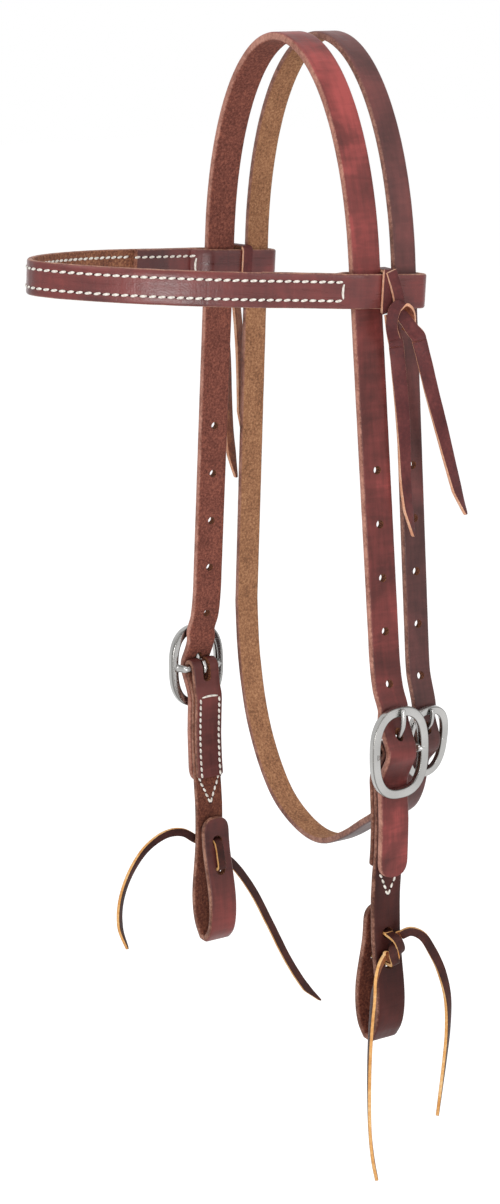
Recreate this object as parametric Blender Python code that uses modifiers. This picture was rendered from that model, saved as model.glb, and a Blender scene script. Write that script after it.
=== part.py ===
# Western headstall in harness leather, hung from its crown with no bit on it.
# All sizes are in metres. +X is the horse's left (near) side, -Y its front and +Z is up.
# The origin is the poll: the underside of the crown strap at its highest point.

import math

import bmesh
import bpy
from mathutils import Matrix, Vector

# Straps
STRAP_WIDTH = 0.0159
CROWN_THICKNESS = 0.0040
CHEEK_THICKNESS = 0.0036
FOLDED_THICKNESS = 0.0029
THROAT_WIDTH = 0.0127
THROAT_THICKNESS = 0.0036
THROAT_FOLDED_THICKNESS = 0.0026
BROWBAND_THICKNESS = 0.0028
EDGE_BEVEL = 0.0009
LAYER_GAP = 0.0003

# Arch over the poll and the legs below it
ARCH_HALF_SPAN = 0.064
ARCH_HEIGHT = 0.115
CROWN_LEG_SPREAD_SHARE = 0.0932
THROAT_LEG_SPREAD_SHARE = 0.070
THROAT_SETBACK = 0.0219

# Punched holes
HOLE_PITCH = 0.0254
HOLE_DIAMETER = 0.0040
OPEN_HOLES = 5
USED_HOLE_LENGTH = 0.0124
USED_HOLE_WIDTH = 0.0042

# Cheek buckles
CHEEK_BAR_X = 0.0873
BAR_DROP = 0.3260
BUCKLE_HEIGHT = 0.0447
BUCKLE_WIDTH = 0.0322
RAIL_WIDTH = 0.0045
RAIL_THICKNESS = 0.0038
BAR_DIAMETER = 0.0038
BAR_SETBACK = 0.0055
TONGUE_DIAMETER = 0.0025
BUCKLE_ROUNDNESS = 2.6
TONGUE_SLOT_WIDTH = 0.0046

# Throat buckle
THROAT_BAR_X = 0.0796
THROAT_BUCKLE_HEIGHT = 0.0372
THROAT_BUCKLE_WIDTH = 0.0242
THROAT_RAIL_WIDTH = 0.0038
THROAT_RAIL_THICKNESS = 0.0030
THROAT_BAR_DIAMETER = 0.0030
THROAT_BAR_SETBACK = 0.0043
THROAT_TONGUE_DIAMETER = 0.0021
THROAT_BUCKLE_TILT = math.radians(10)
THROAT_SLOT_WIDTH = 0.0038

# Clearances
BAR_CLEARANCE = 0.0003
RAIL_CLEARANCE = 0.0011
RAIL_RUN_SHARE = 1.15
TONGUE_SEAT_CLEARANCE = 0.0003
TIE_CLEARANCE = 0.0004
SLOT_END_CLEARANCE = 0.0018
FOOT_CLEARANCE = 0.0006

# Strap ends below the buckles
CROWN_TIP_LENGTH = 0.0430
CHEEK_TURNBACK_LENGTH = 0.0390
THROAT_TIP_LENGTH = 0.0330
TIP_LIFT = 0.0009
TIP_ROUNDING = 0.0080
CORNER_ROUNDING = 0.0020

# Cheek piece and its bit loop
CHEEK_HANG_X = 0.0822
CHEEK_HANG_DROP = 0.4000
LOOP_AXIS_X = 0.0776
LOOP_HALF_WIDTH = 0.0087
LOOP_TOP_DROP = 0.4120
LOOP_HEIGHT = 0.0622
BIT_HOLE_DIAMETER = 0.0060
BIT_HOLE_DROPS = (0.4195, 0.4345)

# Browband
BROWBAND_DROP = 0.1111
BROWBAND_REACH = 0.1392
BROWBAND_HALF_WIDTH = 0.0648
BROWBAND_CURVE_START = 0.0310
BROWBAND_ROUNDNESS = 1.65
BROWBAND_TILT = math.radians(3.9)
BROWBAND_LOOP_BACK = 0.0320
BROWBAND_LOOP_CLEARANCE = 0.0020
BROWBAND_FOLD_RADIUS = 0.0045
BROWBAND_JOIN = 0.0160
BROWBAND_LINER_END = 0.0550

# Throat latch sweep under the jaw
THROAT_SWEEP_TOP = 0.2900
THROAT_SWEEP_DEPTH = 0.1100
THROAT_SWEEP_HALF_WIDTH = 0.0763

# Laces
BIT_LACE_WIDTH = 0.0044
BIT_LACE_THICKNESS = 0.0017
BROW_LACE_WIDTH = 0.0068
BROW_WRAP_WIDTH = 0.0054
BROW_LACE_THICKNESS = 0.0017
LACE_TIP_LENGTH = 0.0140
CORD_GAP = 0.0008
CORD_LEAD = 0.0018

# Resolution
TURN_STEP = math.radians(13)
FOLD_STEP = math.radians(18)
RING_POINTS = 32
CUTTER_SIDES = 10
OVERRUN = 0.0100
CLOSEST_POINTS = 0.0009
WELD_DISTANCE = 0.000001

# Outlines as shares of the sizes above
TIP_WIDTH_SHARES = ((0.0, 0.42), (0.12, 0.66), (0.45, 0.90), (1.0, 1.0))
CORNER_WIDTH_SHARES = ((0.0, 0.8), (1.0, 1.0))
LACE_TIP_SHARES = ((0.0, 0.34), (1.0, 1.0))
BAR_FOOT_SHARES = ((1.0, 1.0, 1.25), (0.6, 0.88, 1.15), (0.22, 0.36, 1.0), (0.0, 0.0, 1.0))
KNOT_SHARES = {
    "near": (
        ((2.0, 0.15, 1.35), (2.3, 0.5, 0.55), (1.6, 0.75, -0.25), (0.6, 0.45, -0.8), (0.4, -0.2, -0.85)),
        ((2.0, -0.1, -1.35), (2.0, -0.3, -0.45), (1.2, -0.1, 0.2), (0.6, 0.35, 0.75)),
    ),
    "far": (
        ((2.0, 0.15, 1.35), (2.3, 0.5, 0.55), (1.8, 0.85, -0.1)),
        ((2.0, -0.1, -1.35), (2.0, -0.3, -0.45), (1.3, -0.4, 0.3)),
    ),
}
OUTER_STRAND_SHARES = ((0.53, 0.0), (0.58, 0.19), (0.77, 0.37), (0.97, 0.55), (1.03, 0.72), (0.80, 0.88), (0.26, 1.0))
INNER_STRAND_SHARES = (
    (-0.24, 1.0), (-0.72, 0.92), (-0.96, 0.80), (-0.99, 0.65), (-0.83, 0.50), (-0.56, 0.35), (-0.32, 0.20),
    (-0.21, 0.06), (-0.18, -0.08),
)
THROAT_SWEEP_SHARES = (
    (-0.993, 0.20), (-0.96, 0.355), (-0.87, 0.58), (-0.70, 0.79), (-0.515, 0.918), (-0.22, 1.0),
    (0.02, 1.0), (0.285, 0.918), (0.495, 0.820), (0.66, 0.745), (0.79, 0.674), (0.895, 0.609),
)

# Routes of the free lace ends, from the knot to the tip
NEAR_BIT_FRONT_TAIL = (
    (0.0884, -0.0052, -0.4302), (0.0906, -0.0092, -0.4327), (0.0922, -0.0128, -0.4400),
    (0.0930, -0.0152, -0.4550), (0.0930, -0.0165, -0.4740), (0.0926, -0.0166, -0.4960),
    (0.0920, -0.0156, -0.5170), (0.0915, -0.0135, -0.5325), (0.0910, -0.0108, -0.5440),
)
NEAR_BIT_BACK_TAIL = (
    (0.0880, 0.0050, -0.4206), (0.0906, 0.0090, -0.4187), (0.0928, 0.0140, -0.4212),
    (0.0940, 0.0192, -0.4295), (0.0946, 0.0245, -0.4410), (0.0946, 0.0285, -0.4560),
    (0.0940, 0.0293, -0.4730), (0.0930, 0.0283, -0.4900), (0.0920, 0.0270, -0.5050),
    (0.0910, 0.0256, -0.5200),
)
FAR_BIT_FRONT_TAIL = (
    (-0.0882, -0.0052, -0.4215), (-0.0898, -0.0120, -0.4170), (-0.0910, -0.0210, -0.4165),
    (-0.0920, -0.0330, -0.4225), (-0.0928, -0.0430, -0.4350), (-0.0930, -0.0490, -0.4500),
    (-0.0925, -0.0500, -0.4640), (-0.0918, -0.0460, -0.4765),
)
FAR_BIT_BACK_TAIL = (
    (-0.0884, 0.0074, -0.4305), (-0.0892, 0.0130, -0.4350), (-0.0900, 0.0210, -0.4430),
    (-0.0915, 0.0330, -0.4600), (-0.0925, 0.0450, -0.4830), (-0.0930, 0.0570, -0.5070),
    (-0.0930, 0.0680, -0.5250), (-0.0930, 0.0780, -0.5370),
)
NEAR_BROW_FRONT_TAIL = (
    (0.0758, 0.0095, -0.1365), (0.0760, 0.0108, -0.1480), (0.0766, 0.0122, -0.1640),
    (0.0775, 0.0130, -0.1820), (0.0785, 0.0132, -0.2010), (0.0795, 0.0145, -0.2155),
    (0.0800, 0.0162, -0.2265),
)
NEAR_BROW_BACK_TAIL = (
    (0.0800, 0.0195, -0.1340), (0.0805, 0.0222, -0.1440), (0.0810, 0.0262, -0.1590),
    (0.0816, 0.0315, -0.1770), (0.0824, 0.0365, -0.1950), (0.0832, 0.0410, -0.2105),
    (0.0836, 0.0440, -0.2190),
)
FAR_BROW_FRONT_TAIL = (
    (-0.0758, 0.0095, -0.1365), (-0.0760, 0.0102, -0.1480), (-0.0764, 0.0112, -0.1640),
    (-0.0770, 0.0118, -0.1820), (-0.0775, 0.0128, -0.2000), (-0.0780, 0.0148, -0.2150),
    (-0.0785, 0.0164, -0.2245),
)
FAR_BROW_BACK_TAIL = (
    (-0.0800, 0.0195, -0.1340), (-0.0805, 0.0208, -0.1440), (-0.0812, 0.0222, -0.1580),
    (-0.0820, 0.0232, -0.1740), (-0.0826, 0.0238, -0.1900), (-0.0830, 0.0240, -0.2040),
)

# Each tie's two free ends: its route, and which way its flat side faces across at the knot and at the tip
TAILS = {
    "near_bit_tie": (
        (NEAR_BIT_FRONT_TAIL, (0.0, 0.2, 1.0), (0.8, -0.6, 0.0)),
        (NEAR_BIT_BACK_TAIL, (0.0, 0.4, 1.0), (-0.5, 0.85, 0.0)),
    ),
    "far_bit_tie": (
        (FAR_BIT_FRONT_TAIL, (0.0, 0.2, 1.0), (-0.5, -0.8, 0.2)),
        (FAR_BIT_BACK_TAIL, (0.0, 0.6, 1.0), (-0.2, 0.9, 0.4)),
    ),
    "near_browband_tie": (
        (NEAR_BROW_FRONT_TAIL, (0.5, 0.85, 0.0), (0.4, 0.9, 0.0)),
        (NEAR_BROW_BACK_TAIL, (0.5, 0.8, 0.3), (0.3, 0.9, 0.3)),
    ),
    "far_browband_tie": (
        (FAR_BROW_FRONT_TAIL, (-0.5, 0.85, 0.0), (-0.4, 0.9, 0.0)),
        (FAR_BROW_BACK_TAIL, (-0.5, 0.8, 0.3), (-0.3, 0.9, 0.3)),
    ),
}

# Colours as sRGB, with roughness and metallic
STRAP_COLOUR = ((0.42, 0.20, 0.17), 0.5, 0.0)
LACE_COLOUR = ((0.26, 0.14, 0.12), 0.55, 0.0)
STEEL_COLOUR = ((0.80, 0.80, 0.79), 0.2, 1.0)

UP = Vector((0, 0, 1))
ACROSS = Vector((0, 1, 0))
OUTWARD = Vector((1, 0, 0))


def clear_scene():
    for obj in list(bpy.data.objects):
        bpy.data.objects.remove(obj, do_unlink=True)


def new_collection(name):
    collection = bpy.data.collections.new(name)
    bpy.context.scene.collection.children.link(collection)
    return collection


def to_linear(value):
    if value <= 0.04045:
        return value / 12.92
    return ((value + 0.055) / 1.055) ** 2.4


def new_material(name, finish):
    colour, roughness, metallic = finish
    material = bpy.data.materials.new(name)
    material.use_nodes = True
    shader = material.node_tree.nodes["Principled BSDF"]
    shader.inputs["Base Color"].default_value = [to_linear(value) for value in colour] + [1.0]
    shader.inputs["Roughness"].default_value = roughness
    shader.inputs["Metallic"].default_value = metallic
    return material


# Lines

def spline_point(before, start, end, after, share):
    """A point of the centripetal curve through start and end."""
    knot_1 = max((start - before).length, CLOSEST_POINTS) ** 0.5
    knot_2 = knot_1 + max((end - start).length, CLOSEST_POINTS) ** 0.5
    knot_3 = knot_2 + max((after - end).length, CLOSEST_POINTS) ** 0.5
    at = knot_1 + (knot_2 - knot_1) * share
    first = before.lerp(start, at / knot_1)
    second = start.lerp(end, (at - knot_1) / (knot_2 - knot_1))
    third = end.lerp(after, (at - knot_2) / (knot_3 - knot_2))
    left = first.lerp(second, at / knot_2)
    right = second.lerp(third, (at - knot_1) / (knot_3 - knot_1))
    return left.lerp(right, share)


def spans_of(points):
    """Each stretch between two points, with its neighbours; the ends mirror their neighbour."""
    points = [Vector(point) for point in points]
    padded = [2 * points[0] - points[1]] + points + [2 * points[-1] - points[-2]]
    return [padded[i:i + 4] for i in range(len(points) - 1)]


def smooth_line(points, turn_step=TURN_STEP):
    """A smooth curve through the points, with more points where it bends more."""
    line = []
    for span in spans_of(points):
        probes = [spline_point(*span, i / 8) for i in range(9)]
        steps = [b - a for a, b in zip(probes, probes[1:])]
        turn = sum(a.angle(b, 0.0) for a, b in zip(steps, steps[1:]))
        count = max(1, math.ceil(turn / turn_step))
        line += [spline_point(*span, i / count) for i in range(count)]
    return line + [Vector(points[-1])]


def even_line(points, per_span):
    line = []
    for span in spans_of(points):
        line += [spline_point(*span, i / per_span) for i in range(per_span)]
    return line + [Vector(points[-1])]


def arc(centre, radius, start, end, step=FOLD_STEP):
    """Points of an arc in the XZ plane, angles from +X towards +Z."""
    count = max(1, round(abs(end - start) / step))
    angles = [start + (end - start) * i / count for i in range(count + 1)]
    return [centre + radius * Vector((math.cos(a), 0, math.sin(a))) for a in angles]


def lengths_along(line):
    total = [0.0]
    for first, second in zip(line, line[1:]):
        total.append(total[-1] + (second - first).length)
    return total


def place_at(line, distance):
    """The point at this distance along the line, and the line's direction there."""
    total = lengths_along(line)
    for i in range(len(line) - 1):
        if total[i + 1] >= distance or i == len(line) - 2:
            share = (distance - total[i]) / (total[i + 1] - total[i])
            return line[i].lerp(line[i + 1], share), (line[i + 1] - line[i]).normalized()


def distance_of_height(line, height):
    """How far along a line that goes down it reaches this height for the first time."""
    total = lengths_along(line)
    for i in range(len(line) - 1):
        if line[i].z >= height > line[i + 1].z:
            share = (line[i].z - height) / (line[i].z - line[i + 1].z)
            return total[i] + share * (total[i + 1] - total[i])


def tangents_of(line):
    ends = [line[0]] + line + [line[-1]]
    return [(ends[i + 2] - ends[i]).normalized() for i in range(len(line))]


def offset_line(line, distance, normal=ACROSS):
    """The line moved sideways in the plane that the normal stands on."""
    return [point + distance * normal.cross(direction) for point, direction in zip(line, tangents_of(line))]


def with_tip_rows(line, tip, shares):
    """Adds the points that the shaped end of a strap needs, at the end of the line."""
    total = lengths_along(line)
    rows = [total[-1] - tip * share for share, width in shares]
    kept = [(at, point) for at, point in zip(total, line) if at < min(rows) - CLOSEST_POINTS]
    added = [(at, place_at(line, at)[0]) for at in sorted(rows)]
    return [point for at, point in kept + added]


def tip_widths(line, half_width, tip, shares):
    """Half widths along the line, drawn in at its end by the shares."""
    total = lengths_along(line)
    widths = []
    for at in total:
        share = (total[-1] - at) / tip
        width = 1.0
        for (near, low), (far, high) in zip(shares, shares[1:]):
            if near <= share <= far:
                width = low + (high - low) * (share - near) / (far - near)
        widths.append(half_width * width)
    return widths


# Solids

def evaluated_mesh(obj):
    graph = bpy.context.evaluated_depsgraph_get()
    mesh = bpy.data.meshes.new_from_object(obj.evaluated_get(graph), depsgraph=graph)
    mesh.name = obj.name
    return mesh


def connected_faces(start):
    """All faces that this one reaches across its edges."""
    group = {start}
    front = [start]
    while front:
        for edge in front.pop().edges:
            for face in edge.link_faces:
                if face not in group:
                    group.add(face)
                    front.append(face)
    return group


def fill_pockets(mesh):
    """Keeps the outer surface: the pockets closed in between the turns of a knot are filled."""
    shape = bmesh.new()
    shape.from_mesh(mesh)
    left = set(shape.faces)
    groups = []
    while left:
        groups.append(connected_faces(next(iter(left))))
        left -= groups[-1]
    outer = max(groups, key=len)
    inner = [face for group in groups if group is not outer for face in group]
    bmesh.ops.delete(shape, geom=inner, context="FACES")
    shape.to_mesh(mesh)
    shape.free()


def finish(obj, material, crease=math.radians(35)):
    """Applies the modifiers and shades the round faces smooth."""
    obj.data = evaluated_mesh(obj)
    obj.modifiers.clear()
    fill_pockets(obj.data)
    obj.data.materials.clear()
    obj.data.materials.append(material)
    obj.data.shade_smooth()
    obj.data.set_sharp_from_angle(angle=crease)
    return obj


def new_object(name, mesh, collection, origin):
    obj = bpy.data.objects.new(name, mesh)
    obj.location = origin
    collection.objects.link(obj)
    return obj


def strip(name, line, sides, half_widths, thickness, collection, origin=Vector(), shares=None, closed=False,
          bevel=EDGE_BEVEL):
    """A flat strip of leather along a line: an open surface with its thickness and its bevelled edges."""
    shape = bmesh.new()
    rows = []
    for point, side, half in zip(line, sides, half_widths):
        centre = point - origin
        rows.append((shape.verts.new(centre - side * half), shape.verts.new(centre + side * half)))
    followers = rows[1:] + rows[:1] if closed else rows[1:]
    for first, second in zip(rows, followers):
        shape.faces.new((first[0], first[1], second[1], second[0]))
    mesh = bpy.data.meshes.new(name)
    shape.to_mesh(mesh)
    shape.free()
    obj = new_object(name, mesh, collection, origin)
    solidify = obj.modifiers.new("thickness", "SOLIDIFY")
    solidify.thickness = thickness
    solidify.offset = 0.0
    solidify.use_even_offset = True
    if shares:
        group = obj.vertex_groups.new(name="skiving")
        for i, share in enumerate(shares):
            group.add([2 * i, 2 * i + 1], share, "REPLACE")
        solidify.vertex_group = group.name
    edges = obj.modifiers.new("edges", "BEVEL")
    edges.width = bevel
    edges.segments = 1
    edges.limit_method = "ANGLE"
    edges.angle_limit = math.radians(50)
    return obj


def hide(obj):
    obj.hide_render = True
    obj.display_type = "WIRE"
    return obj


def cut(obj, cutter):
    boolean = obj.modifiers.new(cutter.name, "BOOLEAN")
    boolean.operation = "DIFFERENCE"
    boolean.object = cutter
    return obj


def join(obj, others):
    for other in others:
        boolean = obj.modifiers.new(other.name, "BOOLEAN")
        boolean.operation = "UNION"
        boolean.object = other
    return obj


def punch_cutter(name, places, collection):
    """Round or oval punches. Each place is (point, direction through, long direction, half length, half width)."""
    shape = bmesh.new()
    for point, through, along, half_length, half_width in places:
        side = through.cross(along)
        turn = Matrix((along, side, through)).transposed().to_4x4()
        size = Matrix.Diagonal((half_length, half_width, 1, 1))
        bmesh.ops.create_cone(
            shape, cap_ends=True, segments=CUTTER_SIDES, radius1=1, radius2=1, depth=2 * OVERRUN,
            matrix=Matrix.Translation(point) @ turn @ size,
        )
    mesh = bpy.data.meshes.new(name)
    shape.to_mesh(mesh)
    shape.free()
    return hide(new_object(name, mesh, collection, Vector()))


def slot_cutter(name, bar, slot_width, end_drop, height, reach, collection):
    """A slot across the fold over the bar, round at its lower end."""
    half = slot_width / 2
    round_end = bar - (end_drop - half) * UP
    shape = bmesh.new()
    turn = Matrix.Rotation(math.pi / 2, 4, "Y")
    bmesh.ops.create_cone(
        shape, cap_ends=True, segments=2 * CUTTER_SIDES, radius1=half, radius2=half, depth=2 * reach,
        matrix=Matrix.Translation(round_end) @ turn,
    )
    mesh = bpy.data.meshes.new(name)
    shape.to_mesh(mesh)
    shape.free()
    rounded = hide(new_object(name, mesh, collection, Vector()))
    box = bmesh.new()
    top = bar.z + height
    size = Matrix.Diagonal((2 * reach, slot_width, top - round_end.z, 1))
    middle = Vector((bar.x, bar.y, (top + round_end.z) / 2))
    bmesh.ops.create_cube(box, size=1, matrix=Matrix.Translation(middle) @ size)
    mesh = bpy.data.meshes.new(name + "_top")
    box.to_mesh(mesh)
    box.free()
    return rounded, hide(new_object(name + "_top", mesh, collection, Vector()))


def tube(name, points, radii, collection, resolution=2, closed=False):
    """A round bar along the points, as a mesh with its caps welded."""
    curve = bpy.data.curves.new(name, "CURVE")
    curve.dimensions = "3D"
    curve.bevel_depth = 1.0
    curve.bevel_resolution = resolution
    curve.use_fill_caps = True
    spline = curve.splines.new("POLY")
    spline.points.add(len(points) - 1)
    for place, point, radius in zip(spline.points, points, radii):
        place.co = (*point, 1)
        place.radius = radius
    spline.use_cyclic_u = closed
    return curve_to_mesh(name, curve, collection)


def curve_to_mesh(name, curve, collection):
    source = bpy.data.objects.new(name, curve)
    collection.objects.link(source)
    mesh = evaluated_mesh(source)
    bpy.data.objects.remove(source, do_unlink=True)
    shape = bmesh.new()
    shape.from_mesh(mesh)
    bmesh.ops.remove_doubles(shape, verts=shape.verts, dist=WELD_DISTANCE)
    bmesh.ops.recalc_face_normals(shape, faces=shape.faces)
    shape.to_mesh(mesh)
    shape.free()
    return new_object(name, mesh, collection, Vector())


# Places that several pieces share

def side_of(name):
    return 1 if name == "near" else -1


def mirrored(points, side):
    return [Vector((side * point.x, point.y, point.z)) for point in points]


def arch_and_leg(spread, bottom):
    """Half of a strap over the poll, from beside its level top to the given height, on the near side."""
    last = math.atan2(ARCH_HALF_SPAN, spread * ARCH_HEIGHT)
    count = math.ceil(last / TURN_STEP) + 2
    angles = [last * (i + 0.5) / (count + 0.5) for i in range(count + 1)]
    centre = CROWN_THICKNESS / 2 - ARCH_HEIGHT * math.cos(angles[0])
    line = [Vector((ARCH_HALF_SPAN * math.sin(a), 0, centre + ARCH_HEIGHT * math.cos(a))) for a in angles]
    foot = line[-1]
    line.append(Vector((foot.x + spread * (foot.z - bottom), 0, bottom)))
    return line


def cheek_bar():
    return Vector((CHEEK_BAR_X, 0, -BAR_DROP))


def throat_bar():
    return Vector((THROAT_BAR_X, 0, -BAR_DROP))


def throat_place(outward, up):
    """A place beside the throat buckle's bar, in the buckle's own tilted directions."""
    out = Vector((math.cos(THROAT_BUCKLE_TILT), 0, -math.sin(THROAT_BUCKLE_TILT)))
    top = Vector((math.sin(THROAT_BUCKLE_TILT), 0, math.cos(THROAT_BUCKLE_TILT)))
    return throat_bar() + outward * out + up * top


def fold_radius(bar_diameter, folded):
    """From the bar's axis to the middle of the leather folded round it."""
    return bar_diameter / 2 + BAR_CLEARANCE + folded / 2


def wrap_radius(bar_diameter, folded, strap):
    """From the bar's axis to the middle of the strap that passes over the fold."""
    return bar_diameter / 2 + BAR_CLEARANCE + folded + LAYER_GAP + strap / 2


def rail_pass(bar_setback, rail_thickness, strap):
    """From the bar's axis outward to the middle of the strap where it passes behind a rail."""
    return bar_setback - rail_thickness / 2 - RAIL_CLEARANCE - strap / 2


def wrap_angle(over, behind, height):
    """Where a strap leaves its turn over the bar to run straight to a place behind a rail."""
    return math.atan2(height, behind) - math.acos(over / math.hypot(behind, height))


def rail_height_of(height, rail):
    return (height - rail) / 2


def crown_turn():
    """The crown strap's turn over the bar: its radius, its half angle, and how far out it runs behind the rails."""
    behind = rail_pass(BAR_SETBACK, RAIL_THICKNESS, CROWN_THICKNESS)
    over = wrap_radius(BAR_DIAMETER, FOLDED_THICKNESS, CROWN_THICKNESS)
    height = rail_height_of(BUCKLE_HEIGHT, RAIL_WIDTH) - RAIL_RUN_SHARE * RAIL_WIDTH
    return over, wrap_angle(over, behind, height), behind


def throat_turn():
    """The same for the throat strap."""
    behind = rail_pass(THROAT_BAR_SETBACK, THROAT_RAIL_THICKNESS, THROAT_THICKNESS)
    over = wrap_radius(THROAT_BAR_DIAMETER, THROAT_FOLDED_THICKNESS, THROAT_THICKNESS)
    height = rail_height_of(THROAT_BUCKLE_HEIGHT, THROAT_RAIL_WIDTH) - RAIL_RUN_SHARE * THROAT_RAIL_WIDTH
    return over, wrap_angle(over, behind, height), behind


def crown_leg():
    """The near half of the crown strap from the poll to its tip, woven through the buckle."""
    bar = cheek_bar()
    rail_height = rail_height_of(BUCKLE_HEIGHT, RAIL_WIDTH)
    over, turn, behind = crown_turn()
    leg = arch_and_leg(CROWN_LEG_SPREAD_SHARE, bar.z + 2.6 * rail_height)
    lead = leg[-1] - 0.45 * rail_height * UP + 0.45 * rail_height * CROWN_LEG_SPREAD_SHARE * OUTWARD
    end = rail_height + CROWN_TIP_LENGTH
    weave = smooth_line([
        leg[-1],
        lead,
        bar + 0.62 * (lead.x - bar.x + behind) * OUTWARD + 1.45 * rail_height * UP,
        bar + behind * OUTWARD + rail_height * UP,
        bar + behind * OUTWARD + (rail_height - RAIL_RUN_SHARE * RAIL_WIDTH) * UP,
        *arc(bar, over, turn, -turn),
        bar + behind * OUTWARD - (rail_height - RAIL_RUN_SHARE * RAIL_WIDTH) * UP,
        bar + behind * OUTWARD - rail_height * UP,
        bar + (behind + TIP_LIFT) * OUTWARD - (rail_height + 0.35 * CROWN_TIP_LENGTH) * UP,
        bar + (behind + TIP_LIFT / 2) * OUTWARD - (rail_height + 0.7 * CROWN_TIP_LENGTH) * UP,
        bar + behind * OUTWARD - end * UP,
    ])
    return leg[:-1] + weave


def throat_beneath():
    """Between the middles of the holed strap and of the folded one beneath it."""
    return LAYER_GAP + (THROAT_THICKNESS + THROAT_FOLDED_THICKNESS) / 2


def throat_pass():
    """The holed strap from its leg over the bar, and from the bar down to the lower rail."""
    over, turn, behind = throat_turn()
    height = rail_height_of(THROAT_BUCKLE_HEIGHT, THROAT_RAIL_WIDTH)
    inner_height = height - RAIL_RUN_SHARE * THROAT_RAIL_WIDTH
    foot = arch_and_leg(THROAT_LEG_SPREAD_SHARE, throat_bar().z + 2.4 * height)[-1]
    lead = foot - 0.5 * height * UP + 0.9 * height * THROAT_LEG_SPREAD_SHARE * OUTWARD
    bulge = arc(throat_bar(), over, turn - THROAT_BUCKLE_TILT, -turn - THROAT_BUCKLE_TILT)
    above = smooth_line([foot, lead, throat_place(behind, height), throat_place(behind, inner_height), *bulge])
    below = smooth_line([bulge[-1], throat_place(behind, -inner_height), throat_place(behind, -height)])
    return above, below


def throat_rise():
    """The folded layer beneath it, from the lower rail up to the bar."""
    return offset_line(throat_pass()[1], throat_beneath())[::-1]


def throat_sweep():
    """The lower course of the throat strap from its far leg to the near buckle's lower rail."""
    line = [Vector((THROAT_SWEEP_HALF_WIDTH * x, 0, -THROAT_SWEEP_TOP - THROAT_SWEEP_DEPTH * z))
            for x, z in THROAT_SWEEP_SHARES]
    return line + [throat_rise()[0]]


def below_buckle(outward):
    """The last stretch below the near throat buckle, moved outward, from the buckle to the tip of the strap."""
    line = even_line(throat_sweep(), 4)
    line = offset_line(line, outward)
    total = lengths_along(line)
    steps = (0.0, 0.33, 0.66, 1.0)
    return [place_at(line, total[-1] - share * THROAT_TIP_LENGTH)[0] for share in steps]


def throat_leg():
    """The near half of the throat strap from the poll to its tip, in the plane Y = 0."""
    above, below = throat_pass()
    leg = arch_and_leg(THROAT_LEG_SPREAD_SHARE, above[0].z)
    return leg[:-1] + above[:-1] + below[:-1] + smooth_line([below[-1]] + below_buckle(throat_beneath())[1:])


# Straps

def strap_holes(line, first, used_width, name, collection):
    """The punched holes up one leg, and the hole in use, drawn out by the tongue."""
    places = []
    for i in range(OPEN_HOLES + 1):
        point, direction = place_at(line, first - i * HOLE_PITCH)
        through = direction.cross(ACROSS)
        if i == 0:
            places.append((point, through, direction, USED_HOLE_LENGTH / 2, used_width / 2))
        else:
            places.append((point, through, direction, HOLE_DIAMETER / 2, HOLE_DIAMETER / 2))
    return punch_cutter(name, places, collection)


def used_hole_distance(line, bar, bar_diameter, tongue_diameter):
    """Along the strap to the hole in use, which lies just above the tongue's eye."""
    rise = bar_diameter / 2 + BAR_CLEARANCE + 2.2 * tongue_diameter
    return distance_of_height(line, bar.z + rise)


def crown_strap(parts, cutters, material):
    half = crown_leg()
    line = mirrored(half, -1)[::-1] + half
    line = with_tip_rows(line, TIP_ROUNDING, TIP_WIDTH_SHARES)
    line = with_tip_rows(line[::-1], TIP_ROUNDING, TIP_WIDTH_SHARES)[::-1]
    widths = tip_widths(line, STRAP_WIDTH / 2, TIP_ROUNDING, TIP_WIDTH_SHARES)
    other = tip_widths(line[::-1], STRAP_WIDTH / 2, TIP_ROUNDING, TIP_WIDTH_SHARES)[::-1]
    widths = [min(pair) for pair in zip(widths, other)]
    strap = strip("crown_strap", line, [ACROSS] * len(line), widths, CROWN_THICKNESS, parts)
    for name in ("near", "far"):
        leg = mirrored(half, side_of(name))
        first = used_hole_distance(leg, cheek_bar(), BAR_DIAMETER, TONGUE_DIAMETER)
        holes = strap_holes(leg, first, USED_HOLE_WIDTH, name + "_crown_holes", cutters)
        cut(strap, holes)
    return finish(strap, material)


def throat_fold():
    """The end of the throat strap that comes up to the bar, goes round it and turns back, in the plane Y = 0."""
    bar = throat_bar()
    radius = fold_radius(THROAT_BAR_DIAMETER, THROAT_FOLDED_THICKNESS)
    layer = THROAT_FOLDED_THICKNESS + LAYER_GAP
    turn = throat_turn()[1]
    over = arc(bar, radius, -turn - THROAT_BUCKLE_TILT, math.pi - THROAT_BUCKLE_TILT)
    inward = throat_place(-1, 0) - bar
    inner = offset_line(throat_rise(), -layer)[::-1]
    inner = [point for point in inner if (point - bar).dot(inward) > radius]
    return over[:-1] + smooth_line([over[-1]] + inner[:1])[:-1] + inner[:-1] + smooth_line(below_buckle(-layer))


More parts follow.
